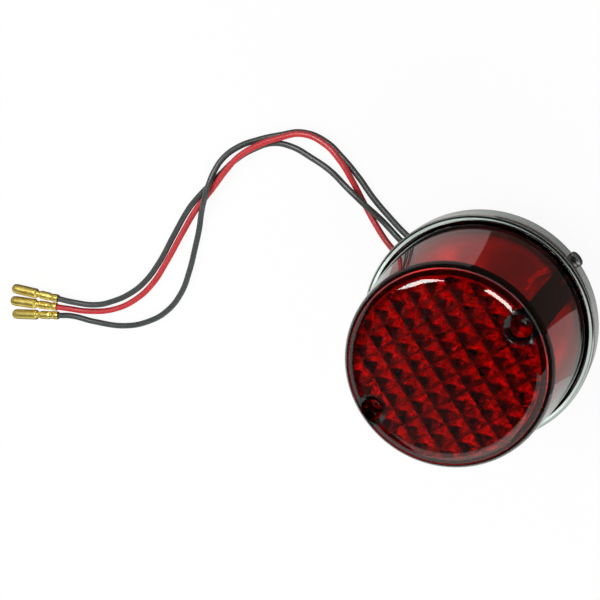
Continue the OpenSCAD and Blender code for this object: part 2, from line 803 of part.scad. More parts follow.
// A round wire of some flat sides along the points of a route.
module sweep(p, r, sides, first) {
    n = len(p);
    rings = [for (i = [0 : n - 1])
        let (way = way_at(p, i), a = side_at(p, i, first), b = cross(way, a))
        for (k = [0 : sides - 1])
            let (turn = 360 * (k + 0.5) / sides)
            p[i] + r * (cos(turn) * a + sin(turn) * b)];
    walls = [for (i = [0 : n - 2], k = [0 : sides - 1])
        let (next = (k + 1) % sides)
        [(i + 1) * sides + k, (i + 1) * sides + next, i * sides + next, i * sides + k]];
    foot = [for (k = [0 : sides - 1]) k];
    head = [for (k = [0 : sides - 1]) n * sides - 1 - k];
    polyhedron(points = rings, faces = concat([foot, head], walls));
}

wire_side = [cos(wire_way - 90), sin(wire_way - 90), 0];

module stop_wire() {
    color("#c01420") sweep(stop_route, wire_r, wire_sides, wire_side);
}

module tail_wire() {
    color("#1b1c1e") sweep(tail_route, wire_r, wire_sides, wire_side);
}

module earth_wire() {
    color("#1b1c1e") sweep(earth_route, wire_r, wire_sides, wire_side);
}

// A bullet terminal that starts where a route ends and points along it.
module terminal(route) {
    last = route[len(route) - 1];
    d = last - route[len(route) - 2];
    barrel_len = bullet_barrel_share * bullet_len;
    head_len = bullet_len - barrel_len - bullet_neck_len;
    color("#d9b95a") translate(last) rotate([0, acos(d[2] / norm(d)), atan2(d[1], d[0])]) {
        cylinder(r = barrel_r, h = barrel_len);
        translate([0, 0, barrel_len]) cylinder(r = 0.8 * barrel_r, h = bullet_neck_len);
        translate([0, 0, barrel_len + bullet_neck_len]) rotate_extrude()
            rounded_block(bullet_r, 0, head_len, bullet_nose_r);
    }
}

module stop_terminal() {
    terminal(stop_route);
}

module tail_terminal() {
    terminal(tail_route);
}

module earth_terminal() {
    terminal(earth_route);
}

mounting_pad();
base_pan();
chrome_rim();
rim_screws();
mount_nuts();
lens_posts();
lens_gasket();
lens();
lens_screw_left();
lens_screw_right();
screw_washers();
reflector();
bulb_holder();
holder_rivets();
earth_tag();
grommet();
contact_plate();
contact_tips();
contact_spring();
stop_lead();
tail_lead();
bulb_cap();
bulb_pins();
bulb_insulator();
bulb_contacts();
bulb_glass();
bulb_stem();
filament_supports();
stop_filament();
tail_filament();
stop_wire();
tail_wire();
earth_wire();
stop_terminal();
tail_terminal();
earth_terminal();
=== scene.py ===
# %% [markdown]
# # A tail light for a motorcycle
#
# This lamp is a deep red moulded lens in a low chromed rim. Behind it sit a pressed steel pan, a
# rubber pad, a reflector and a bayonet holder with a two-filament bulb. Three wires leave through
# the back and end in bullet terminals.
#
# The solids of the lamp come in as a fixed frame, and each cell dresses one of them or builds a
# finer piece in its place. Lengths here are written in millimetres and turned to metres where a
# mesh is made, because a maker of small metal parts thinks in millimetres.

# %% Load the lamp
import bpy
import bmesh
from math import ceil, cos, pi, radians, sin, tan
from mathutils import Matrix, Vector


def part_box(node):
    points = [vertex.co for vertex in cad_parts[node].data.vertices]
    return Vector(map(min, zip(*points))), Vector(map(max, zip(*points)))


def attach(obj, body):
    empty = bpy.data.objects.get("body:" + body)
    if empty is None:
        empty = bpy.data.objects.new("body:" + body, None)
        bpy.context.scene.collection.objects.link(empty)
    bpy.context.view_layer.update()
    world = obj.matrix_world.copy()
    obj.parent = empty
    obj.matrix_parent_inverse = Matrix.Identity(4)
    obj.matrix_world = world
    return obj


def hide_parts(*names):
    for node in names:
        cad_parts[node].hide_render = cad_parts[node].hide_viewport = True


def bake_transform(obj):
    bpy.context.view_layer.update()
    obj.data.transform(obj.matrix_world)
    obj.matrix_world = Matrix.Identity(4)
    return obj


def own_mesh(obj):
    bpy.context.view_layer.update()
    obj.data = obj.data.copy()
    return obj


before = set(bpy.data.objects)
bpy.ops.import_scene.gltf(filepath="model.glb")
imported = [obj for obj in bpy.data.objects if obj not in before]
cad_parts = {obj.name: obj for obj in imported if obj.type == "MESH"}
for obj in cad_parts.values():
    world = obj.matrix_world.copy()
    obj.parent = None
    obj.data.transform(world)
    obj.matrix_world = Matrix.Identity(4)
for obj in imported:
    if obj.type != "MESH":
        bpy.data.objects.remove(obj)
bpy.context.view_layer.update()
MM = 0.001
print("solids loaded:", len(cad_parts))

# %% [markdown]
# ## The camera
#
# The lamp is seen from in front and a little to one side, through a long lens, so that its round
# face stays nearly round. The camera stands about half a metre away. Its three axes are given as
# directions, which is plainer than three turning angles.

# %% Camera
FOCAL_LENGTH, SENSOR_WIDTH = 78, 36
CAMERA_PLACE = (0.12991, 0.05007, 0.44082)
camera_right = Vector((0.7880, -0.5261, -0.3195))
camera_up = Vector((0.4778, 0.8501, -0.2215))
camera_back = Vector((0.3882, 0.0218, 0.9213))
camera_data = bpy.data.cameras.new("camera")
camera_data.lens = FOCAL_LENGTH
camera_data.sensor_width = SENSOR_WIDTH
camera = bpy.data.objects.new("camera", camera_data)
turn = Matrix((camera_right, camera_up, camera_back)).transposed()
camera.matrix_world = Matrix.Translation(CAMERA_PLACE) @ turn.to_4x4()
bpy.context.collection.objects.link(camera)
bpy.context.scene.camera = camera
bpy.context.scene.view_settings.view_transform = "Standard"
print("camera at", [round(v, 3) for v in camera.location])

# %% [markdown]
# ## Small helpers
#
# Colours are written as a designer writes them, as sRGB hex, and one function turns them to the
# linear numbers that a shader works with. Another adds one shader node with its settings, where a
# value that is a socket becomes a link.

# %% Colour and node helpers
def linear(colour):
    parts = [int(colour[i : i + 2], 16) / 255 for i in (1, 3, 5)]
    return [p / 12.92 if p <= 0.04045 else ((p + 0.055) / 1.055) ** 2.4 for p in parts] + [1]


def add(tree, kind, settings=None, inputs=None):
    node = tree.nodes.new("ShaderNode" + kind)
    for name, value in (settings or {}).items():
        setattr(node, name, value)
    for name, value in (inputs or {}).items():
        if isinstance(value, bpy.types.NodeSocket):
            tree.links.new(value, node.inputs[name])
        else:
            node.inputs[name].default_value = value
    return node


def new_material(name):
    material = bpy.data.materials.new(name)
    material.use_nodes = True
    material.node_tree.nodes.clear()
    return material, material.node_tree


def show(tree, shader, volume=None):
    inputs = {"Surface": shader.outputs[0]}
    if volume:
        inputs["Volume"] = volume.outputs[0]
    add(tree, "OutputMaterial", None, inputs)


print("white is", linear("#ffffff"))

# %% [markdown]
# ## Clouds, rings and bumps
#
# Most finishes need the same few things: a cloudy noise or one drawn out in rings, a ramp that
# turns it to a roughness or to a mix of two colours, and a bump. Sizes are in millimetres. The
# noise reads the piece's own coordinates, so it stays on its piece when the lamp comes apart.

# %% Pattern helpers
def cloud(tree, size, detail=2, offset=0, stretch=(1, 1, 1)):
    place = add(tree, "TexCoord")
    mapped = add(tree, "Mapping", None, {0: place.outputs["Object"], 1: (offset,) * 3, 3: stretch})
    inputs = {"Vector": mapped.outputs[0], "Scale": 1 / (size * MM), "Detail": detail}
    return add(tree, "TexNoise", None, inputs).outputs["Fac"]


def rings(tree, size, detail=2):
    place = add(tree, "TexCoord")
    parts = add(tree, "SeparateXYZ", None, {0: place.outputs["Object"]})
    flat = add(tree, "CombineXYZ", None, {0: parts.outputs[0], 1: parts.outputs[1]})
    radius = add(tree, "VectorMath", {"operation": "LENGTH"}, {0: flat.outputs[0]})
    path = add(tree, "CombineXYZ", None, {0: radius.outputs["Value"], 2: parts.outputs[2]})
    inputs = {"Vector": path.outputs[0], "Scale": 1 / (size * MM), "Detail": detail}
    return add(tree, "TexNoise", None, inputs).outputs["Fac"]


def pattern(tree, marks):
    """Marks are (size, detail, offset, stretch) of a cloud, or ("rings", width, detail)."""
    return rings(tree, *marks[1:]) if marks[0] == "rings" else cloud(tree, *marks)


def between(tree, marks, low, high, start=0.3, end=0.7):
    return add(tree, "MapRange", None, {0: marks, 1: start, 2: end, 3: low, 4: high}).outputs[0]


def mixed(tree, marks, first, second, start=0.3, end=0.7):
    ramp = add(tree, "ValToRGB", None, {0: marks})
    for element, place, colour in zip(ramp.color_ramp.elements, (start, end), (first, second)):
        element.position = place
        element.color = linear(colour)
    return ramp.outputs[0]


def bump(tree, marks, height, strength):
    inputs = {"Height": marks, "Distance": height * MM, "Strength": strength}
    return add(tree, "Bump", None, inputs).outputs[0]


print("patterns ready")

# %% [markdown]
# Nearly every finish is then the same recipe: two tones of one colour in patches, a roughness that
# follows the grain, and a low bump from the same grain or from longer waves. A finish with no IOR
# is a bare metal.

# %% One recipe for a surface
def surface(name, tones, patch, rough, grain, height, strength, ior=None, waves=None, ramp=(0.3, 0.7)):
    material, tree = new_material(name)
    inputs = {
        "Base Color": mixed(tree, pattern(tree, patch), *tones, *ramp),
        "Roughness": between(tree, pattern(tree, grain), *rough),
        "Normal": bump(tree, pattern(tree, waves or grain), height, strength),
    }
    inputs.update({"IOR": ior} if ior else {"Metallic": 1.0})
    show(tree, add(tree, "BsdfPrincipled", None, inputs))
    print("made", name)
    return material


print("recipe ready")

# %% [markdown]
# ## The three wires
#
# The lamp has a red wire for the stop light, a black one for the tail light and a black earth wire.
# Each is a thin limp PVC-covered wire of 2.2 mm that bends down out of the back and lies on the
# ground in a loose S. The points are the middle of each wire and repeat the routes of the solids.

# %% Wire routes in millimetres
STOP_ROUTE = [
    (-1.5, -0.5, 8.8), (-1.5, -0.5, 7.8), (-1.8, 0.5, 4.6), (-2.8, 3.4, 1.9), (-4.6, 8.5, 1.2),
    (-8.5, 19, 1.2), (-12.5, 30, 1.2), (-14.87, 39.5, 1.2), (-15.2, 49.2, 1.2), (-14.67, 58.23, 1.2),
    (-13.59, 66.33, 2.69), (-13.29, 74.41, 3.55), (-14.8, 82, 3.58), (-19.9, 89.39, 3.59),
    (-28.29, 92.98, 3.6), (-36.58, 95.06, 3.6), (-45.36, 95.49, 3.59), (-52.71, 93.84, 3.48),
    (-59.63, 91.71, 2.69), (-66.12, 89.95, 1.8), (-71.58, 88.41, 1.2), (-81.45, 83.97, 1.2),
    (-93.78, 78.04, 1.2), (-103.29, 74.17, 1.2), (-113.1, 72.57, 1.2), (-123.51, 73.85, 1.2),
    (-134, 78.8, 1.3), (-140.5, 83.8, 2), (-144.5, 86.8, 2),
]
TAIL_ROUTE = [
    (1.5, 0.5, 8.8), (1.5, 0.5, 7.8), (1.2, 1.5, 4.6), (0.3, 4.3, 1.9), (-1.3, 9.4, 1.2),
    (-4.8, 20, 1.2), (-8.3, 31, 1.2), (-10.51, 39.6, 1.29), (-12.37, 48.7, 1.45), (-14.07, 56.69, 3.75),
    (-16.26, 65.06, 3.89), (-18.89, 73.28, 1.92), (-22.6, 80.98, 1.25), (-26.61, 87.96, 1.22),
    (-32.03, 92.81, 1.21), (-39.53, 94.98, 1.2), (-47.84, 95.4, 1.2), (-55.77, 94.2, 1.2),
    (-62.97, 92.89, 1.2), (-68.89, 91.63, 1.2), (-74.16, 90.07, 1.2), (-84.83, 85.12, 1.2),
    (-96.22, 79.55, 1.2), (-105.51, 76.42, 1.2), (-113.4, 75.61, 1.2), (-122.5, 76.8, 1.2),
    (-129.5, 79.2, 1.3), (-137.3, 85, 2), (-142, 89.2, 2),
]
EARTH_ROUTE = [
    (7.2, 1.5, 8.2), (6.95, 2.9, 8.2), (5.3, 5.6, 6.5), (3.9, 8.3, 3.7), (2.9, 11, 1.7),
    (1.9, 14.2, 1.2), (-2.8, 27, 1.2), (-7.5, 39.6, 1.2), (-9.5, 48.6, 1.2), (-10.8, 56.9, 1.2),
    (-11.4, 66.1, 1.2), (-12.7, 75.01, 1.2), (-14.7, 82.61, 1.2), (-20.09, 89.94, 1.2),
    (-28.68, 94.08, 1.21), (-36.08, 96.8, 1.22), (-44.2, 98.75, 1.24), (-51.41, 98.44, 1.69),
    (-56.43, 96.26, 2.92), (-60.68, 93.12, 4.42), (-65.1, 89.72, 4.43), (-69.84, 86.41, 2.34),
    (-74.72, 81.76, 1.35), (-80.31, 76.68, 1.26), (-87.4, 70.59, 1.23), (-95.2, 65.3, 1.21),
    (-104.5, 62.4, 1.2), (-113.6, 62.8, 1.2), (-123.2, 66.1, 1.2), (-134, 74, 1.3), (-141, 80.7, 2),
    (-146, 83.7, 2),
]
WIRE_R = 1.1
print("wire points:", len(STOP_ROUTE), len(TAIL_ROUTE), len(EARTH_ROUTE))

# %% [markdown]
# PVC insulation is extruded round the copper strands, so it is smooth with a soft shine and faint
# waves from handling. The colour is in the plastic itself. Its IOR is about 1.53. Real PVC has a
# skin finer than a tenth of a millimetre; it is drawn at 1.2 mm here, so that the shine breaks up.

# %% Wire insulation
PVC_IOR = 1.53
SHADE_PATCH, HANDLING_WAVE, SKIN_GRAIN = (6, 2), (4, 1), (1.2, 3)


def pvc(name, *tones):
    return surface(
        name, tones, SHADE_PATCH, (0.34, 0.46), SKIN_GRAIN, 0.03, 0.35, PVC_IOR, HANDLING_WAVE)


# The eye sees one clean red with a soft broad line of light that wavers where it was handled.
red_pvc = pvc("red extruded PVC insulation", "#cf2a30", "#bf1d26")
# Black plastic has a greenish grey bloom, so it never looks quite black in daylight.
black_pvc = pvc("black extruded PVC insulation", "#353c3a", "#424947")

# %% [markdown]
# A curve with a round bevel is the right tool for a wire: it is one smooth line with a thickness.

# %% Wires
def round_line(name, points, radius, material, along, around):
    """A round line through the points, with so many steps between two points and around it."""
    curve = bpy.data.curves.new(name, "CURVE")
    curve.dimensions = "3D"
    curve.resolution_u = along
    curve.bevel_depth = radius * MM
    curve.bevel_resolution = around
    curve.use_fill_caps = True
    curve.materials.append(material)
    spline = curve.splines.new("BEZIER")
    spline.bezier_points.add(len(points) - 1)
    for knot, place in zip(spline.bezier_points, points):
        knot.co = Vector(place) * MM
        knot.handle_left_type = knot.handle_right_type = "AUTO"
    return bpy.data.objects.new(name, curve)


def wire(name, route, material, node):
    piece = round_line(name, route, WIRE_R, material, 10, 5)
    bpy.context.collection.objects.link(piece)
    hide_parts(node)
    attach(piece, "lamp_base")
    print(name, "is", round(piece.data.splines[0].calc_length() / MM, 1), "mm long")
    return piece


stop_cord = wire("stop_cord", STOP_ROUTE, red_pvc, "stop_wire")
tail_cord = wire("tail_cord", TAIL_ROUTE, black_pvc, "tail_wire")
earth_cord = wire("earth_cord", EARTH_ROUTE, black_pvc, "earth_wire")

# %% [markdown]
# ## Turned and pressed shapes
#
# Most pieces of a lamp are round: they are turned, spun or drawn. Each is made the same way, from
# half of its cross-section, which is carried round an axis. Real edges are never quite sharp, and a
# sharp edge catches no light, so every corner of the outline is eased with a small arc first.

# %% Ease the corners of an outline
ON_AXIS = 1e-6
NEARLY_STRAIGHT, NEARLY_FOLDED = radians(87), radians(3)
MOST_OF_A_SIDE = 0.48


def eased(outline, ease=0.15, steps=3):
    """A corner is (radius, height) or (radius, height, ease), and an ease of 0 keeps it sharp."""
    points = []
    for i, corner in enumerate(outline):
        here = Vector(corner[:2])
        before = Vector(outline[i - 1][:2]) - here
        after = Vector(outline[(i + 1) % len(outline)][:2]) - here
        radius = corner[2] if len(corner) > 2 else ease
        half = before.angle(after, pi) / 2
        if radius <= 0 or here.x < ON_AXIS or not NEARLY_FOLDED <= half <= NEARLY_STRAIGHT:
            points.append(here)
            continue
        reach = min(radius / tan(half), MOST_OF_A_SIDE * min(before.length, after.length))
        radius = reach * tan(half)
        inwards = (before.normalized() + after.normalized()).normalized()
        middle = here + inwards * radius / sin(half)
        first = here + before.normalized() * reach - middle
        last = here + after.normalized() * reach - middle
        sweep = first.angle_signed(last)
        for step in range(steps + 1):
            angle = -sweep * step / steps
            x = first.x * cos(angle) - first.y * sin(angle)
            y = first.x * sin(angle) + first.y * cos(angle)
            points.append(middle + Vector((x, y)))
    return points


print("a square outline becomes", len(eased([(1, 0), (2, 0), (2, 1), (1, 1)])), "points")

# %% A lathe for meshes
SHARP_ANGLE = 32


def new_piece(name, shape, materials):
    mesh = bpy.data.meshes.new(name)
    bmesh.ops.recalc_face_normals(shape, faces=shape.faces)
    shape.to_mesh(mesh)
    shape.free()
    for material in materials:
        mesh.materials.append(material)
    mesh.polygons.foreach_set("use_smooth", [True] * len(mesh.polygons))
    mesh.set_sharp_from_angle(angle=radians(SHARP_ANGLE))
    piece = bpy.data.objects.new(name, mesh)
    bpy.context.collection.objects.link(piece)
    return piece


def add_turned(shape, outline, steps=96, place=None, ease=0.15):
    place = place or Matrix.Identity(4)
    rounds = []
    for radius, height in eased(outline, ease):
        if radius < ON_AXIS:
            rounds.append([shape.verts.new(place @ (Vector((0, 0, height)) * MM))] * steps)
            continue
        ring = []
        for k in range(steps):
            way = 2 * pi * k / steps
            spot = Vector((radius * cos(way), radius * sin(way), height)) * MM
            ring.append(shape.verts.new(place @ spot))
        rounds.append(ring)
    for lower, upper in zip(rounds, rounds[1:] + rounds[:1]):
        for k in range(steps):
            corners = [lower[k], lower[(k + 1) % steps], upper[(k + 1) % steps], upper[k]]
            corners = list(dict.fromkeys(corners))
            if len(corners) > 2:
                shape.faces.new(corners)


print("lathe ready")

# %% [markdown]
# A finished piece stands for the solid that it replaces: the solid is hidden and the piece rides on the
# same part of the lamp. Weighted normals keep its flat faces flat between the eased edges.

# %% Even shading and standing in for a solid
def even(piece):
    shading = piece.modifiers.new("even shading", "WEIGHTED_NORMAL")
    shading.keep_sharp = True
    return piece


def stand_for(piece, body, slot, *nodes):
    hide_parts(*nodes)
    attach(piece, body)
    print(piece.name, "has", len(piece.data.polygons), "faces")
    return piece


print("ready to stand pieces in for solids")

# %% [markdown]
# ## Bullet terminals
#
# A bullet terminal is rolled from thin brass sheet: an open barrel is crimped on the end of the wire,
# and a round bullet pushes into a socket on the bike. Pressed brass is bright yellow with soft streaks.
# Its colour lies in random patches of two tones, a painted glint and a painted shade, and the darker
# patches also stand for where fingers and flux have been. The streaks of rolled sheet are finer than
# this; they are drawn at 0.6 mm so that they show.

# %% Brass for the terminals
GLINT_AND_TARNISH, STREAKS = (4, 3, 7), (0.6, 3)
# The pale lemon tone is a painted glint and the deeper gold a painted shade, laid in random patches
# rather than on top and in the folds.
terminal_brass = surface(
    "bright pressed brass sheet", ("#f7e27c", "#d6b550"), GLINT_AND_TARNISH, (0.34, 0.49), STREAKS, 0.01, 0.6,
    ramp=(0.45, 0.75))

# %% [markdown]
# The terminal is turned as one outline: the barrel with its two crimps, a neck, and the bullet with
# its open nose. Where the sheet meets along the barrel, two low lips leave a fine seam between them.

# %% Terminals
BARREL = [(1.15, 0), (1.45, 0, 0), (1.6, 0.3), (1.6, 1.6), (1.42, 2.1), (1.42, 3.6)]
NECK = [(1.6, 4.1), (1.6, 7.4)] + [(1.28, 8), (1.28, 9), (1.6, 9.25), (1.95, 9.7)]
BULLET = [(1.95, 18.2), (1.75, 19.4), (1.25, 19.95), (0.8, 20), (0.8, 17)]
HOLLOW = [(0, 17), (0, 0.3), (1.15, 0.3)]
SEAM_HALF, LIP_WIDTH, SEAM_START, SEAM_END = 0.04, 0.3, 0.4, 7.2
LIP_LOW_R, LIP_HIGH_R, LIP_ROOT_R = 1.42, 1.57, 1.2


def add_lip(shape, place, side):
    seam, edge = side * SEAM_HALF, side * LIP_WIDTH
    outer = [
        (seam, LIP_LOW_R, SEAM_START), (edge, LIP_HIGH_R, SEAM_START),
        (edge, LIP_HIGH_R, SEAM_END), (seam, LIP_LOW_R, SEAM_END),
    ]
    inner = [(x, LIP_ROOT_R, z) for x, y, z in outer]
    top, low = [
        [shape.verts.new(place @ (Vector(spot) * MM)) for spot in ring] for ring in (outer, inner)
    ]
    shape.faces.new(top)
    shape.faces.new(low)
    for a in range(4):
        b = (a + 1) % 4
        shape.faces.new((top[a], top[b], low[b], low[a]))


def terminal(name, route, node, turn_by):
    start, before = Vector(route[-1]) * MM, Vector(route[-2]) * MM
    way = (start - before).normalized()
    place = Matrix.Translation(start) @ way.to_track_quat("Z", "Y").to_matrix().to_4x4()
    place = place @ Matrix.Rotation(radians(turn_by), 4, "Z")
    shape = bmesh.new()
    add_turned(shape, BARREL + NECK + BULLET + HOLLOW, 40, place, 0.12)
    for side in (-1, 1):
        add_lip(shape, place, side)
    piece = new_piece(name, shape, [terminal_brass])
    return stand_for(even(piece), "lamp_base", "terminal_brass", node)


stop_bullet = terminal("stop_bullet", STOP_ROUTE, "stop_terminal", 20)
tail_bullet = terminal("tail_bullet", TAIL_ROUTE, "tail_terminal", -35)
earth_bullet = terminal("earth_bullet", EARTH_ROUTE, "earth_terminal", 90)

# %% [markdown]
# Each wire is listed with its real length and what is on its end, and the length is printed.
# The lengths are those of the solids, from the end inside the lamp to the terminal.

for cord, route, length, bullet, slot in (
    (stop_cord, STOP_ROUTE, 0.2328, stop_bullet, "wire_red"),
    (tail_cord, TAIL_ROUTE, 0.2227, tail_bullet, "wire_black"),
    (earth_cord, EARTH_ROUTE, 0.2433, earth_bullet, "wire_black"),
):
    print(cord.name, "declared as", length, "m")

# %% [markdown]
# A hole or a slot is cut with a Boolean modifier, and the result is kept as plain mesh. The cutter
# itself is thrown away, so nothing unseen is left in the scene.

# %% Cutting holes
def shaped(piece, cutters, operation="DIFFERENCE", sharp=SHARP_ANGLE):
    for cutter in cutters:
        cut = piece.modifiers.new("cut", "BOOLEAN")
        cut.operation = operation
        cut.solver = "EXACT"
        cut.object = cutter
    ready = piece.evaluated_get(bpy.context.evaluated_depsgraph_get())
    mesh = bpy.data.meshes.new_from_object(ready)
    piece.modifiers.clear()
    old = piece.data
    piece.data = mesh
    bpy.data.meshes.remove(old)
    for cutter in cutters:
        bpy.data.objects.remove(cutter)
    mesh.polygons.foreach_set("use_smooth", [True] * len(mesh.polygons))
    mesh.set_sharp_from_angle(angle=radians(sharp))
    return piece


def turned(name, outline, material, steps=96, ease=0.15, place=None):
    shape = bmesh.new()
    add_turned(shape, outline, steps, place, ease)
    return new_piece(name, shape, [material])


def rod(radius, low, high, place=None, steps=48):
    shape = bmesh.new()
    add_turned(shape, [(0, low), (radius, low), (radius, high), (0, high)], steps, place, 0)
    return new_piece("cutter", shape, [])


def block(low, high, turn_by=0):
    shape = bmesh.new()
    bmesh.ops.create_cube(shape, size=1)
    size = [b - a for a, b in zip(low, high)]
    middle = [(a + b) / 2 for a, b in zip(low, high)]
    shape.transform(Matrix.Diagonal([s * MM for s in size] + [1]))
    shape.transform(Matrix.Translation(Vector(middle) * MM))
    shape.transform(Matrix.Rotation(radians(turn_by), 4, "Z"))
    return new_piece("cutter", shape, [])


print("cutters ready")

# %% [markdown]
# ## The lens
#
# The lens is injection-moulded acrylic (PMMA), clear and dyed deep red. Outside it is smooth, with
# a big soft corner. Inside, its front wall is covered with rows of small pyramids, which scatter
# the bulb's light and throw back bright patches of daylight. Two deep wells take the screws.
#
# Real refraction is the right way to draw this: a true thick wall, real facets and a dye inside the
# plastic, so that thick places look darker than thin ones.

# %% Sizes of the lens
LENS_FOOT, LENS_STEP, LENS_FACE = 8.2, 17, 66
LENS_BASE_R, LENS_FRONT_R, LENS_CORNER, LENS_WALL = 37.4, 33.2, 7, 2.6
TAPER_START, CORNER_STEP = 1.5, 6
PRISM_Z, PRISM_PITCH, PRISM_DEPTH = 61.6, 6, 2.8
PRISM_FLAT, PRISM_EASE, PRISM_FIELD_R = 0.2, 0.45, 28.6
SCREW_R, BOSS_Z, SEAT_Z, HEAD_Z = 27.6, 15.7, 52, 53
TUBE_R, RIB_INSET, BORE_R, WELL_R, MOUTH_R, MOUTH_DEPTH = 4.9, 0.3, 2.05, 3.3, 5.1, 1.6
# Cutters start below the foot and run on past the face, so that they leave no skin.
CUT_START, CUT_PAST = 5, 2
print("lens is", 2 * LENS_BASE_R, "mm wide and", LENS_FACE - LENS_FOOT, "mm deep")

# %% [markdown]
# The outside of the mould is polished, the pyramids are polished less, and the mouths of the screw
# wells are left matt. It is one plastic with one dye, so only the surface differs. The IOR of
# acrylic is 1.49. The ripples of the moulding are shallow, and they bend the lights on it a little.

# %% Red acrylic
ACRYLIC_IOR, DUST = 1.49, (3, 4)
RED_DYE = {"Color": linear("#f12f2f"), "Density": 680.0}


def clear(name, tint, rough, dust, waves, height, strength, ior, shine=0.5, dye=None):
    material, tree = new_material(name)
    shader = add(tree, "BsdfPrincipled", None, {
        "Base Color": linear(tint),
        "Roughness": between(tree, cloud(tree, *dust), *rough),
        "IOR": ior,
        "Transmission Weight": 1.0,
        "Specular IOR Level": shine,
        "Normal": bump(tree, cloud(tree, *waves), height, strength),
    })
    show(tree, shader, dye and add(tree, "VolumeAbsorption", None, dye))
    print("made", name)
    return material


def acrylic(name, rough, wave, height, strength, shine=0.5):
    waves = (wave, 2)
    return clear(
        name, "#ff3a30", rough, DUST, waves, height, strength, ACRYLIC_IOR, shine, RED_DYE)


# Polished, it gives the eye one clear deep red with crisp lights along the rounded edge.
red_acrylic = acrylic("red moulded acrylic, polished", (0.015, 0.05), 9, 0.02, 0.3)
# On the pyramids each facet glows softly in its own red instead of mirroring sharply.
pyramid_acrylic = acrylic("red moulded acrylic, pyramid side", (0.16, 0.5), 4, 0.9, 1)
# A satin mouth shows as a paler ring round each well.
matt_acrylic = acrylic("red moulded acrylic, satin mouth", (0.12, 0.2), 1, 0.01, 0.3, 0.3)

# %% [markdown]
# The pyramids are square cells, each with a tiny flat tip, drawn as one sheet that is closed behind
# and cut round. Moulded edges are a little soft, so the sheet gets a narrow bevel.

# %% Pyramids
def pyramid_block(radius):
    shape = bmesh.new()
    rows = ceil(radius / PRISM_PITCH) + 1
    tip = PRISM_FLAT / 2
    corners = {}
    for i in range(-rows, rows + 1):
        for j in range(-rows, rows + 1):
            spot = ((i + 0.5) * PRISM_PITCH, (j + 0.5) * PRISM_PITCH, PRISM_Z + PRISM_DEPTH)
            corners[i, j] = shape.verts.new(Vector(spot) * MM)
    for i in range(-rows + 1, rows + 1):
        for j in range(-rows + 1, rows + 1):
            ring = [corners[i - 1, j - 1], corners[i, j - 1], corners[i, j], corners[i - 1, j]]
            inner = []
            for a, b in ((-1, -1), (1, -1), (1, 1), (-1, 1)):
                spot = (i * PRISM_PITCH + a * tip, j * PRISM_PITCH + b * tip, PRISM_Z)
                inner.append(shape.verts.new(Vector(spot) * MM))
            shape.faces.new(inner)
            for a in range(4):
                b = (a + 1) % 4
                shape.faces.new((ring[a], ring[b], inner[b], inner[a]))
    edges = [e for e in shape.edges if e.is_boundary]
    grown = bmesh.ops.extrude_edge_only(shape, edges=edges)["geom"]
    for v in grown:
        if isinstance(v, bmesh.types.BMVert):
            v.co.z = (PRISM_Z - 3) * MM
    back = [e for e in grown if isinstance(e, bmesh.types.BMEdge) and e.is_boundary]
    bmesh.ops.contextual_create(shape, geom=back)
    piece = new_piece("pyramids", shape, [])
    soft = piece.modifiers.new("soft edges", "BEVEL")
    soft.width = PRISM_EASE * MM
    soft.segments = 3
    return shaped(piece, [rod(radius, PRISM_Z - 2, PRISM_Z + 5, steps=96)], "INTERSECT", 10)


print("pyramids are", PRISM_PITCH, "mm apart and", PRISM_DEPTH, "mm deep")

# %% [markdown]
# Each screw runs down a tube that is moulded with the lens and joined to its wall by a thick rib.
# The cavity is a tapered hollow with the pyramids added to its end and the two tubes taken out.
# Cut from the shell, it leaves the wall, the facets and the tubes.

# %% Cavity of the lens
def screw_boss(side):
    place = Matrix.Translation(Vector((side * SCREW_R, 0, 0)) * MM)
    tube = rod(TUBE_R, BOSS_Z, LENS_FACE + CUT_PAST, place)
    low = (SCREW_R, RIB_INSET - TUBE_R, BOSS_Z)
    high = (LENS_BASE_R, TUBE_R - RIB_INSET, LENS_FACE + CUT_PAST)
    return shaped(tube, [block(low, high, 0 if side > 0 else 180)], "UNION")


cavity_r = LENS_BASE_R - LENS_WALL
cavity = turned("cavity", [
    (0, CUT_START), (cavity_r, CUT_START, 0), (cavity_r, LENS_STEP, 0),
    (LENS_FRONT_R - LENS_WALL, PRISM_Z, 0.4), (0, PRISM_Z),
], red_acrylic, 128)
shaped(cavity, [pyramid_block(PRISM_FIELD_R)], "UNION", 12)
shaped(cavity, [screw_boss(side) for side in (-1, 1)], "DIFFERENCE", 12)
print("cavity has", len(cavity.data.polygons), "faces")

# %% [markdown]
# The outside of the lens is one turned solid: a straight foot in the rim, a gentle taper, a round
# corner and a flat face. The two wells have a wide mouth, a seat for the head and a narrow bore.

# %% Lens shell and screw wells
def lens_outline():
    corner_r, corner_z = LENS_FRONT_R - LENS_CORNER, LENS_FACE - LENS_CORNER
    foot = [(0, LENS_FOOT), (LENS_BASE_R, LENS_FOOT, 0.3), (LENS_BASE_R, LENS_STEP - TAPER_START, 0)]
    corner = []
    for degrees in range(CORNER_STEP, 91, CORNER_STEP):
        a = radians(degrees)
        corner.append((corner_r + LENS_CORNER * cos(a), corner_z + LENS_CORNER * sin(a), 0))
    return foot + corner + [(corner_r - 1, LENS_FACE, 0), (0, LENS_FACE)]


def screw_well(side):
    return turned("well", [
        (0, CUT_START), (BORE_R, CUT_START, 0), (BORE_R, SEAT_Z, 0.1), (WELL_R, SEAT_Z, 0.2),
        (WELL_R, LENS_FACE - MOUTH_DEPTH, 0.5), (MOUTH_R, LENS_FACE, 0.35),
        (MOUTH_R + 1, LENS_FACE, 0), (MOUTH_R + 1, LENS_FACE + CUT_PAST, 0), (0, LENS_FACE + CUT_PAST),
    ], red_acrylic, 64, place=Matrix.Translation((side * SCREW_R * MM, 0, 0)))


lens = turned("lens_shell", lens_outline(), red_acrylic, 160)
shaped(lens, [cavity], "DIFFERENCE", 12)
shaped(lens, [screw_well(side) for side in (-1, 1)], "DIFFERENCE", 24)
print("lens shell has", len(lens.data.polygons), "faces")

# %% [markdown]
# The faces of the pyramids and of the two mouths get their own finish, by where their middle lies.

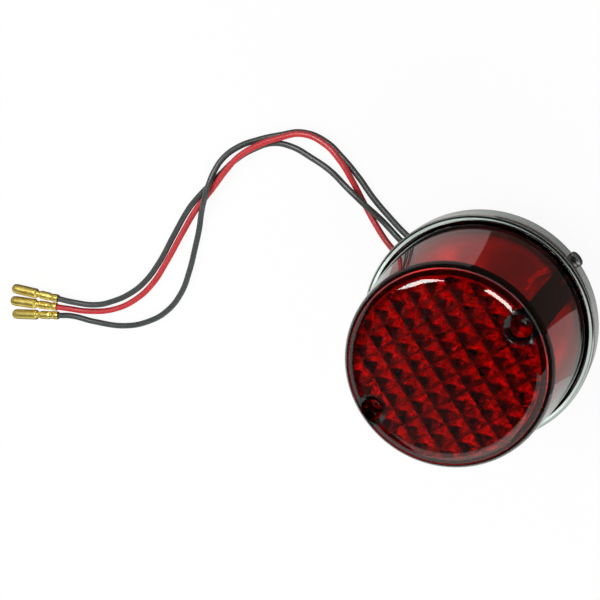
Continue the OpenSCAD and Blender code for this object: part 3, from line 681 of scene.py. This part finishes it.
# %% Finishes of the lens
PYRAMID, MATT = 1, 2
LEVEL_FACE = 0.995
lens.data.materials.append(pyramid_acrylic)
lens.data.materials.append(matt_acrylic)
counts = [0, 0, 0]
wells = [Vector((side * SCREW_R, 0)) for side in (-1, 1)]
for face in lens.data.polygons:
    spot = face.center / MM
    from_screw = min((Vector(spot.xy) - well).length for well in wells)
    in_mouth = from_screw < MOUTH_R + 0.4 and spot.z > LENS_FACE - MOUTH_DEPTH - 0.6
    in_field = from_screw > WELL_R + 0.2 and spot.xy.length < 30
    if in_mouth and face.normal.z < LEVEL_FACE:
        face.material_index = MATT
    elif in_field and PRISM_Z - 0.5 < spot.z < PRISM_Z + PRISM_DEPTH + 0.3:
        face.material_index = PYRAMID
    counts[face.material_index] += 1
print("lens faces polished, pyramid and matt:", counts)
stand_for(even(lens), "lens_unit", "lens_red", "lens")

# %% [markdown]
# ## The chrome rim
#
# The rim is pressed from thin steel and plated with bright chrome. Chrome has almost no colour of
# its own: it shows the room, slightly cooler and darker. Pressing and polishing leave faint rings
# round the lamp. Real ones are much finer; they are drawn 0.5 mm wide, so that they can be seen.

# %% Chrome
CHROME_PATCH, POLISH, PRESS_RINGS = (12, 3), (2, 4), ("rings", 0.5, 3)
# The eye sees a cool mirror with slightly softened edges, and a hint of turning in it.
chrome = surface(
    "chromed pressed steel", ("#bac2be", "#adb5b1"), CHROME_PATCH, (0.08, 0.16), POLISH, 0.006, 0.5,
    waves=PRESS_RINGS)

# %% [markdown]
# The rim is a thin band with a rolled front lip that turns in over the foot of the lens. Two holes
# in its sides take the screws that hold it to the pan.

# %% Rim
RIM_OUTER_R, RIM_INNER_R, RIM_LIP_R = 40, 39.3, 37.9
RIM_BACK, RIM_UNDER_LIP, RIM_FRONT = 4, 15.3, 16
RIM_SCREW_Z, RIM_SCREW_WAY, RIM_HOLE_R = 6.8, 5, 1.8
rim = turned("rim_band", [
    (RIM_OUTER_R, RIM_BACK, 0.2), (RIM_OUTER_R, RIM_FRONT, 1.0), (RIM_LIP_R, RIM_FRONT, 0.2),
    (RIM_LIP_R, RIM_UNDER_LIP, 0.1), (RIM_INNER_R, RIM_UNDER_LIP, 0.4), (RIM_INNER_R, RIM_BACK, 0.2),
], chrome, 192, 0.2)


def facing_out(way, start):
    out = Matrix.Translation(start) @ Matrix.Rotation(pi / 2, 4, "Y")
    return Matrix.Rotation(radians(way), 4, "Z") @ out


holes = [facing_out(RIM_SCREW_WAY + turn_by, (0, 0, RIM_SCREW_Z * MM)) for turn_by in (0, 180)]
shaped(rim, [rod(RIM_HOLE_R, RIM_OUTER_R - 2, RIM_OUTER_R + 2, hole, 32) for hole in holes])
stand_for(even(rim), "lamp_base", "rim_chrome", "chrome_rim")

# %% [markdown]
# ## Screws
#
# Two small cross-headed screws hold the rim to the pan, and two long ones hold the lens. They are
# made by cold heading: a domed head with a cross struck into it. Zinc plate is grey and cloudy, and
# the long pair is passivated dark. The clouds of the plating are drawn coarser, at 1.5 mm.

# %% Plated screw steel
def plated_steel(name, *tones):
    plating, pits = (1.5, 3), (0.4, 2)
    return surface(name, tones, plating, (0.3, 0.45), plating, 0.005, 0.5, waves=pits)


# Bright plate gives the eye a pale dot on each side of the rim.
screw_steel = plated_steel("zinc-plated cold-headed steel", "#b4b8b9", "#9a9ea0")
# The dark heads almost vanish down in their red wells.
dark_screw_steel = plated_steel("dark-passivated zinc-plated steel", "#6c7072", "#5b5f61")

# %% [markdown]
# The thread is rolled. It is drawn as ridges and not as a true helix, because it sits in the dark
# and can so be turned in one go with the head.

# %% Screws with struck crosses
THREAD_PITCH, THREAD_DEPTH = 0.5, 0.22
CROSS_REACH, CROSS_TURN = 0.62, 20
# Radius and height of the head, radius and length of the shank, width and depth of the cross.
RIM_SCREW = (2.75, 1.9, 1.5, 2.2, 0.6, 1.0)
LENS_SCREW = (3, 2.6, 1.75, 45, 0.8, 1.5)


def screw(name, sizes, place, steel, node, body):
    head_r, head_h, shank_r, shank_len, slot_w, slot_deep = sizes
    outline = [
        (0, head_h), (0.45 * head_r, 0.97 * head_h), (0.75 * head_r, 0.84 * head_h),
        (0.95 * head_r, 0.6 * head_h, 0.5), (head_r, 0.4 * head_h, 0.3), (head_r, 0, 0.2),
        (shank_r, 0, 0.05),
    ]
    for i in range(int((shank_len - 1) / THREAD_PITCH)):
        crest = -THREAD_PITCH * (i + 1)
        outline.append((shank_r, crest, 0))
        outline.append((shank_r - THREAD_DEPTH, crest - THREAD_PITCH / 2, 0))
    outline.append((shank_r - 0.25, -shank_len + 0.4, 0))
    outline += [(0.6 * shank_r, -shank_len), (0, -shank_len)]
    piece = turned(name, outline, steel, 48, 0.1)
    reach = CROSS_REACH * head_r
    low, high = (-reach, -slot_w / 2, head_h - slot_deep), (reach, slot_w / 2, head_h + 1)
    shaped(piece, [block(low, high, arm + CROSS_TURN) for arm in (0, 90)])
    piece.data.transform(place)
    return stand_for(even(piece), body, "screw_steel", node)


rim_screws = []
for word, turn_by in (("right", 0), ("left", 180)):
    place = facing_out(RIM_SCREW_WAY + turn_by, Vector((RIM_OUTER_R, 0, RIM_SCREW_Z)) * MM)
    name = "rim_screw_" + word
    rim_screws.append(screw(name, RIM_SCREW, place, screw_steel, "rim_screws", "lamp_base"))
for side, word in ((-1, "left"), (1, "right")):
    place = Matrix.Translation(Vector((side * SCREW_R, 0, HEAD_Z)) * MM)
    node = "lens_screw_" + word
    screw(node + "_piece", LENS_SCREW, place, dark_screw_steel, node, word + "_screw")

# %% [markdown]
# ## Finishes for the solids that stay
#
# The pressed and moulded pieces inside the lamp keep their solids and get their real finish.
#
# EPDM rubber is moulded and has a fine dull grain. Foam seals are the same rubber with open pores.
# Real pores are too fine to see here; they are drawn 0.3 mm wide.

# %% Rubber
def rubber(name, tones, grain, height):
    return surface(name, tones, (8, 3), (0.6, 0.8), (grain, 3), height, 0.8, 1.52)


# The eye sees a dull charcoal with no streak of light on it.
moulded_rubber = rubber("black moulded EPDM rubber", ("#1c1d1e", "#26282a"), 0.5, 0.03)
# Foam is darker still, because its pores swallow the light.
foam_rubber = rubber("black foamed sealing rubber", ("#17181a", "#202224"), 0.3, 0.05)

# %% [markdown]
# Plated and drawn metals differ in colour and in the direction of their marks, and their roughness
# comes from how they were made. The rings that a spinning or turning tool leaves are drawn coarser
# than life, 0.3 to 0.5 mm wide.

# %% Metals
PLATE_GRAIN = (0.8, 3)
WIDE_RINGS, DRAWN_RINGS, FINE_RINGS = ("rings", 0.5), ("rings", 0.4), ("rings", 0.3)


def metal(name, first, second, rough, patch, grain=PLATE_GRAIN, height=0.008, strength=0.6):
    return surface(name, (first, second), (patch, 3, 3), rough, grain, height, strength)


# Grey with soft cloudy lights.
zinc_pan = metal("zinc-plated pressed steel", "#b4b9bb", "#9aa0a3", (0.3, 0.45), 5)
# Straw that turns pink from place to place.
yellow_zinc = metal("yellow passivated zinc on steel", "#d8bd76", "#c79f8a", (0.25, 0.4), 2.5)
# A pale satin bowl that gathers the light in soft rings.
spun_aluminium = metal(
    "satin spun aluminium", "#dcdfe1", "#c9cccf", (0.14, 0.26), 8, WIDE_RINGS, 0.01)
# Warm yellow with drawing marks round it.
holder_brass = metal("drawn brass sheet", "#cfae62", "#b8924a", (0.25, 0.4), 5, DRAWN_RINGS)
# Small dull silver dots.
rivet_aluminium = metal("headed soft aluminium", "#c3c6c8", "#adb1b4", (0.35, 0.5), 1.5)
# A cold whitish strip beside the warm brass.
tinned_brass = metal("tinned brass strip", "#c9ccca", "#b0b3ad", (0.3, 0.45), 2)
# Brighter yellow than sheet, since it is cut and not rolled.
contact_brass = metal("turned contact brass", "#dcbf66", "#c4a14c", (0.2, 0.35), 2, FINE_RINGS)
# Mid grey with a thin line of light along each turn.
spring_wire = metal("drawn spring steel wire", "#8f9396", "#7b7f82", (0.25, 0.4), 1)
# Old gold, with brown clouds.
cap_brass = metal("rolled brass of a bulb cap", "#d6b765", "#bf9a4b", (0.22, 0.38), 4, WIDE_RINGS)
# Lumpy grey drops.
soft_solder = metal(
    "cooled soft solder", "#aeb1b3", "#8f9295", (0.35, 0.55), 0.8, PLATE_GRAIN, 0.03, 1)
# Thin warm grey lines.
nickel_wire = metal("drawn nickel wire", "#a9a69f", "#95928c", (0.25, 0.35), 1)
# Dark and matt while the lamp is off.
tungsten = metal("coiled tungsten wire", "#77797c", "#5f6164", (0.4, 0.55), 0.5, height=0.02)

# %% [markdown]
# The contact plate is punched from laminated phenolic board, brown paper layers in resin. The bulb's
# base is sealed with black glass, and its envelope is clear soda-lime glass, blown thin.

# %% Board and black glass
PAPER_FIBRES, SEEDS = (0.7, 4, 0, (1, 4, 8)), (1.5, 3)
# Brown and faintly streaked. The fibres of real paper are finer than this.
phenolic = surface(
    "brown laminated phenolic board", ("#7a4322", "#96582e"), PAPER_FIBRES, (0.35, 0.55),
    PAPER_FIBRES, 0.01, 0.5, 1.55)
# Nearly black, with a wet shine.
black_glass = surface(
    "black fused glass", ("#141417", "#222229"), SEEDS, (0.08, 0.25), SEEDS, 0.02, 0.5, 1.52)

# %% Clear glass
def glass(name, tint, rough):
    return clear(name, tint, (rough, rough + 0.04), SEEDS, (5, 2), 0.03, 0.4, 1.52)


# The eye sees the envelope only by its bright edges.
blown_glass = glass("clear blown soda-lime glass", "#fbfdfc", 0.01)
# The stem is thicker and greener, and blurs what is behind it.
pressed_glass = glass("pressed glass of the stem", "#eef4f1", 0.08)

# %% [markdown]
# ## The spring and the wire ends
#
# Pushing the bulb in by two millimetres closes the coil spring under the contact plate, and bends the
# ends of the two live wires. Here they are meshes of their own, drawn at rest: the spring is a coil
# with flat ends, and each wire end is a rod bent between the lamp and the plate.

# %% Contact spring
def bent_rod(name, points, radius, material):
    line = round_line(name + "_line", points, radius, material, 6, 4)
    mesh = bpy.data.meshes.new_from_object(line)
    bpy.data.objects.remove(line)
    piece = bpy.data.objects.new(name, mesh)
    bpy.context.collection.objects.link(piece)
    return piece


# The first and last turns of the coil lie flat, so that it stands straight.
SPRING_R, SPRING_TURNS, SPRING_STEPS = 0.35, 5, 12
low, high = (Vector(corner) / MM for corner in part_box("contact_spring"))
coil_r = high.x - SPRING_R
climbing = SPRING_TURNS - 2
coil = []
for i in range(SPRING_TURNS * SPRING_STEPS + 1):
    turns = i / SPRING_STEPS
    climb = min(climbing, max(0, turns - 1)) / climbing
    height = low.z + SPRING_R + (high.z - low.z - 2 * SPRING_R) * climb
    coil.append((coil_r * cos(2 * pi * turns), coil_r * sin(2 * pi * turns), height))
spring = bent_rod("spring_coil", coil, SPRING_R, spring_wire)
stand_for(spring, "lamp_base", "spring_steel", "contact_spring")
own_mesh(spring)

# %% [markdown]
# Each live wire comes up from the grommet, bends outwards in a knee and an elbow, and ends under its
# contact tip. On the real lamp, the bend between the knee and the elbow takes up the two millimetres.

# %% Wire ends
KNEE_Z, ELBOW_Z, TIP_X = 12.7, 15.6, 3.5
for name, node, route, side, material, slot in (
    ("stop_wire_end", "stop_lead", STOP_ROUTE, -1, red_pvc, "wire_red"),
    ("tail_wire_end", "tail_lead", TAIL_ROUTE, 1, black_pvc, "wire_black"),
):
    x, y, foot = route[0]
    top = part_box(node)[1][2] / MM
    bends = [
        (x, y, foot), (x, y, KNEE_Z), ((x + side * TIP_X) / 2, y / 2, (KNEE_Z + ELBOW_Z) / 2),
        (side * TIP_X, 0, ELBOW_Z), (side * TIP_X, 0, top),
    ]
    wire_end = bent_rod(name, bends, WIRE_R, material)
    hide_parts(node)
    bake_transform(wire_end)
    print(name, "has", len(wire_end.data.polygons), "faces")

# %% [markdown]
# The solids that stay are dressed: each gets its material and a narrow bevel, because a pressed or
# moulded edge is never sharp. Blown glass and fine wires have no edges to break.

# %% Dress the solids
SAME_SPOT = 0.000002
EDGE_ANGLE = 30


def dress(node, material, bevel):
    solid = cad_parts[node]
    solid.data.materials.clear()
    solid.data.materials.append(material)
    join = solid.modifiers.new("join", "WELD")
    join.merge_threshold = SAME_SPOT
    if bevel:
        edge = solid.modifiers.new("edge", "BEVEL")
        edge.width = bevel * MM
        edge.segments = 2
        edge.limit_method = "ANGLE"
        edge.angle_limit = radians(EDGE_ANGLE)
        edge.use_clamp_overlap = True
        edge.harden_normals = True
    print("dressed", node, "with", material.name)


for node, material, bevel in (
    ("mounting_pad", moulded_rubber, 0.3), ("base_pan", zinc_pan, 0.2),
    ("mount_nuts", yellow_zinc, 0.25), ("lens_posts", yellow_zinc, 0.25),
    ("lens_gasket", foam_rubber, 0.3), ("screw_washers", foam_rubber, 0.15),
    ("reflector", spun_aluminium, 0.15), ("bulb_holder", holder_brass, 0.1),
    ("holder_rivets", rivet_aluminium, 0.15), ("earth_tag", tinned_brass, 0.1),
    ("grommet", moulded_rubber, 0.25), ("contact_plate", phenolic, 0.12),
    ("contact_tips", contact_brass, 0.15), ("bulb_cap", cap_brass, 0.08),
    ("bulb_pins", contact_brass, 0.15), ("bulb_insulator", black_glass, 0.2),
    ("bulb_contacts", soft_solder, 0.2), ("bulb_glass", blown_glass, 0),
    ("bulb_stem", pressed_glass, 0.1), ("filament_supports", nickel_wire, 0),
    ("stop_filament", tungsten, 0), ("tail_filament", tungsten, 0),
):
    dress(node, material, bevel)

# %% [markdown]
# ## The table
#
# The lamp lies on a plain white table in soft light. To the camera the table is almost wholly
# white, and the small share that is left to its matt paint keeps the shadow faint.

# %% Floor
TABLE_HALF, OWN_WHITE = 1.5, 0.93
floor_shape = bmesh.new()
bmesh.ops.create_grid(floor_shape, x_segments=2, y_segments=2, size=TABLE_HALF)
floor_white, tree = new_material("matt white table top")
path = add(tree, "LightPath")
matt = add(tree, "BsdfPrincipled", None, {
    "Base Color": linear("#f3f3f1"), "Roughness": 0.9, "Specular IOR Level": 0.1,
})
white = add(tree, "Emission", None, {"Color": (1, 1, 1, 1), "Strength": 1.0})
share_inputs = {0: path.outputs["Is Camera Ray"], 1: OWN_WHITE}
share = add(tree, "Math", {"operation": "MULTIPLY"}, share_inputs)
show(tree, add(tree, "MixShader", None, {0: share.outputs[0], 1: matt.outputs[0], 2: white.outputs[0]}))
floor = new_piece("table_top", floor_shape, [floor_white])
print("the table is", 2 * TABLE_HALF, "m wide")

# %% [markdown]
# The room around the table is white where it is seen, mirrored or looked at through glass. It
# lights matt things less than that, so that the lamps further on can shape them.

# %% World
ROOM_LIGHT = 0.42
world = bpy.data.worlds.new("white surroundings")
bpy.context.scene.world = world
world.use_nodes = True
tree = world.node_tree
tree.nodes.clear()
path = add(tree, "LightPath")
seen = path.outputs["Is Camera Ray"]
for ray in ("Is Glossy Ray", "Is Transmission Ray"):
    seen = add(tree, "Math", {"operation": "MAXIMUM"}, {0: seen, 1: path.outputs[ray]}).outputs[0]
level = add(tree, "MapRange", None, {0: seen, 3: ROOM_LIGHT, 4: 1.0})
sky = add(tree, "Background", None, {"Color": (1, 1, 1, 1), "Strength": level.outputs[0]})
add(tree, "OutputWorld", None, {"Surface": sky.outputs[0]})
print("the room lights matt things at", ROOM_LIGHT)

# %% [markdown]
# ## A dark cloth
#
# A glossy red lens would mirror a white room all over and look milky. A dark cloth above and
# behind the camera stops that. It is a part of a large dome that only mirrors and glass can see,
# and its lower edge rises and falls round the lamp, so that the sides still mirror a light room.
# The cloth is drawn as a faint dark glow that no lamp lights. One soft brighter patch in it glows more
# and lays a painted haze of light over the face of the lens.

# %% Shape of the cloth
def aim(azimuth, height):
    flat = cos(radians(height))
    return Vector((cos(radians(azimuth)) * flat, sin(radians(azimuth)) * flat, sin(radians(height))))


DOME_R, DOME_TOP, DOME_ROWS, DOME_STEP = 1.6, 89.9, 12, 5
CLOTH_START, CLOTH_END = -60, 300
EDGE_STOPS = [(-60, 60), (-40, 10), (125, 10), (140, 24), (215, 26), (235, 54), (300, 60)]


def cloth_edge(azimuth):
    for (a, low), (b, high) in zip(EDGE_STOPS, EDGE_STOPS[1:]):
        if a <= azimuth <= b:
            return low + (high - low) * (azimuth - a) / (b - a)


cloth_shape = bmesh.new()
columns = []
for azimuth in range(CLOTH_START, CLOTH_END + 1, DOME_STEP):
    edge = cloth_edge(azimuth)
    heights = [edge + (DOME_TOP - edge) * k / DOME_ROWS for k in range(DOME_ROWS + 1)]
    columns.append([cloth_shape.verts.new(aim(azimuth, height) * DOME_R) for height in heights])
for left, right in zip(columns, columns[1:]):
    for k in range(DOME_ROWS):
        cloth_shape.faces.new((left[k], right[k], right[k + 1], left[k + 1]))
print("cloth has", len(cloth_shape.faces), "faces")

# %% Black studio cloth, drawn as a glow
# Not quite black: it glows a faint dark grey, which the lens mirrors while it keeps its red. The
# brighter patch is a painted reflection.
PATCH_WAY, PATCH_HEIGHT, PATCH_IN, PATCH_OUT, PATCH_LIGHT = 206, 58, 0.2, 0.42, 8.0


dark_cloth, tree = new_material("faintly glowing studio cloth")
place = add(tree, "NewGeometry").outputs["Position"]
middle = aim(PATCH_WAY, PATCH_HEIGHT) * DOME_R
gap = add(tree, "VectorMath", {"operation": "DISTANCE"}, {0: place, 1: middle})
fade = {0: gap.outputs["Value"], 1: PATCH_IN, 2: PATCH_OUT, 3: PATCH_LIGHT, 4: 1.0}
lit = add(tree, "MapRange", {"interpolation_type": "SMOOTHSTEP"}, fade)
cloth_glow = {"Color": linear("#2a2b2b"), "Strength": lit.outputs[0]}
show(tree, add(tree, "Emission", None, cloth_glow))
print("made", dark_cloth.name)

# %% [markdown]
# ## Cards on the table
#
# The chrome rim mirrors the table beside it, and on a bare white table it would vanish. So cards lie
# round the lamp that glow in their own colour and that only mirrors see: brown-grey ones, a painted
# shade that reaches in to the rim on one side as a painted shadow of the lamp, and, nearer on some
# other sides, pale ones, a painted half-shade.

# %% Table cards of painted shade and shadow
CARD_START, PALE_END, CARD_END, CARD_LIFT = 0.043, 0.15, 1.5, 0.0004
# Between the two ways of the dark stretch, the brown card reaches in to the rim as a painted shadow of
# the lamp.
CARD_STEP, SHADOW_FROM, SHADOW_TO, PALE_TO = 4, -20, 50, 115
BROWN, PALE = 0, 1
cards_shape = bmesh.new()
for azimuth in range(CLOTH_START, CLOTH_END, CARD_STEP):
    strips = [(CARD_START, CARD_END, BROWN)]
    if not SHADOW_FROM <= azimuth <= SHADOW_TO:
        strips = [(PALE_END, CARD_END, BROWN)]
        if azimuth <= PALE_TO:
            strips.append((CARD_START, PALE_END, PALE))
    for near, far, shade in strips:
        left, right = aim(azimuth, 0), aim(azimuth + CARD_STEP, 0)
        lift = Vector((0, 0, CARD_LIFT))
        corners = [left * near + lift, right * near + lift, right * far + lift, left * far + lift]
        face = cards_shape.faces.new([cards_shape.verts.new(corner) for corner in corners])
        face.material_index = shade


# A card glows with its colour and is not lit, so its shade is painted.
def card(name, colour):
    material, tree = new_material(name)
    show(tree, add(tree, "Emission", None, {"Color": linear(colour), "Strength": 1.0}))
    return material


# The brown is painted shade and shadow, a warm dark band in the chrome, and the pale one painted
# half-shade, a soft grey beside it.
cards = [card("brown-grey card of painted shadow", "#54443f"), card("pale brown card of painted half-shade", "#b3a5a2")]
print("cards have", len(cards_shape.faces), "faces")

# %% Hide the cloth and the cards from the camera
cloth = new_piece("studio_cloth", cloth_shape, [dark_cloth])
# The cards are painted shade and shadow that only mirrors see.
mirrored_shadow_cards = new_piece("mirrored_shadow_cards", cards_shape, cards)
for sheet in (cloth, mirrored_shadow_cards):
    sheet.visible_camera = False
    sheet.visible_diffuse = False
    sheet.visible_shadow = False
mirrored_shadow_cards.visible_transmission = False
print("staged", cloth.name, "and", mirrored_shadow_cards.name)

# %% [markdown]
# ## Soft lamps
#
# Each lamp is a lit rectangle that looks at the middle of the lamp from a given way and height. A
# large one from the left gives most of the light, and a second fills from the right. Neither is
# mirrored, since the streaks on the lens and the rim have lamps of their own.

# %% Key and fill
LAMP_MIDDLE = 0.04


def soft_lamp(name, azimuth, height, distance, size, power, colour="#ffffff"):
    data = bpy.data.lights.new(name, "AREA")
    data.shape = "RECTANGLE"
    data.size, data.size_y = size
    data.energy = power
    data.color = linear(colour)[:3]
    lamp = bpy.data.objects.new(name, data)
    way = aim(azimuth, height)
    lamp.location = Vector((0, 0, LAMP_MIDDLE)) + way * distance
    lamp.rotation_euler = way.to_track_quat("Z", "Y").to_euler()
    bpy.context.collection.objects.link(lamp)
    lamp.visible_camera = False
    print(name, "has", power, "W")
    return lamp


KEY_SIZE, KEY_AWAY = (0.8, 0.8), 1.1
soft_lamp("left key lamp", 148, 47, KEY_AWAY, KEY_SIZE, 7).visible_glossy = False
soft_lamp("right fill lamp", 255, 48, KEY_AWAY, KEY_SIZE, 5).visible_glossy = False

# %% [markdown]
# A studio keeps a lamp off a piece with small flags. Light linking does the same work here: a lamp
# lights only the pieces on its list. Three small soft boxes draw the bright streaks on the rounded
# edge of the lens, and a wide warm card draws the long glow down one side.

# %% Soft boxes for the lens
def only_for(lamp, pieces):
    group = bpy.data.collections.new(lamp.name + " pieces")
    for piece in pieces:
        group.objects.link(piece)
    lamp.light_linking.receiver_collection = group
    lamp.visible_diffuse = False
    lamp.visible_transmission = False
    return lamp


BOX_SIZE, BOX_AWAY = (0.19, 0.2), 0.7
for name, azimuth, height, power, tint in (
    ("rear soft box", 105, 60, 2.4, "#fff6f0"),
    ("side soft box", 22, 61, 2.4, "#fffaf2"),
    ("low soft box", -17, 61, 0.7, "#f4f2ff"),
):
    only_for(soft_lamp(name, azimuth, height, BOX_AWAY, BOX_SIZE, power, tint), [lens])
only_for(soft_lamp("low warm card", 238, 42, 1.0, (0.8, 0.7), 3.0, "#ffd0c8"), [lens])

# %% [markdown]
# Two cool cards above and behind the lamp give the chrome lip its thin pale line, and they light
# the heads of the rim screws.

# %% Cards for the rim
RIM_CARD_WAY, RIM_CARD_SIZE = 200, (0.7, 0.3)
for name, height, power in (("grey card above", 78, 0.8), ("white card behind", 62, 1.3)):
    rim_card = soft_lamp(name, RIM_CARD_WAY, height, 1.0, RIM_CARD_SIZE, power, "#f0f5f2")
    only_for(rim_card, [rim, *rim_screws])

# %% [markdown]
# Daylight that falls through the face comes back from the pyramids as bright patches. Three small
# lamps that shine into the lens from steep angles do this, and they aren't mirrored on its outside.

# %% Lamps for the pyramids
PYRAMID_LAMP = (0.16, 0.16)
for name, azimuth, height, power in (
    ("left pyramid lamp", 184, 71, 0.28),
    ("right pyramid lamp", 4, 71, 0.06),
    ("low pyramid lamp", 136, 66, 0.1),
):
    glow = only_for(soft_lamp(name, azimuth, height, 1.0, PYRAMID_LAMP, power), [lens])
    glow.visible_glossy = False
    glow.visible_transmission = True

# %% [markdown]
# Thin wires stay dull under the large lamps, so one long lamp draws a line of light along each.
# With the lens lifted off, the polished reflector would mirror the dark cloth and look black, so a
# wide soft lamp lights the pieces of the open base.

# %% Lamps for the wires and the open base
wire_lamp = soft_lamp("long lamp for the wires", 70, 60, 0.7, (0.5, 0.3), 6)
only_for(wire_lamp, [stop_cord, tail_cord, earth_cord, stop_bullet, tail_bullet, earth_bullet])
INSIDE = (
    "reflector", "bulb_holder", "holder_rivets", "lens_posts", "mount_nuts", "base_pan",
    "lens_gasket", "bulb_cap", "bulb_pins",
)
open_lamp = soft_lamp("soft lamp for the open base", 200, 72, 1.0, (1.3, 1.3), 4.5)
only_for(open_lamp, [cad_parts[node] for node in INSIDE])
print("lamps:", len(bpy.data.lights))
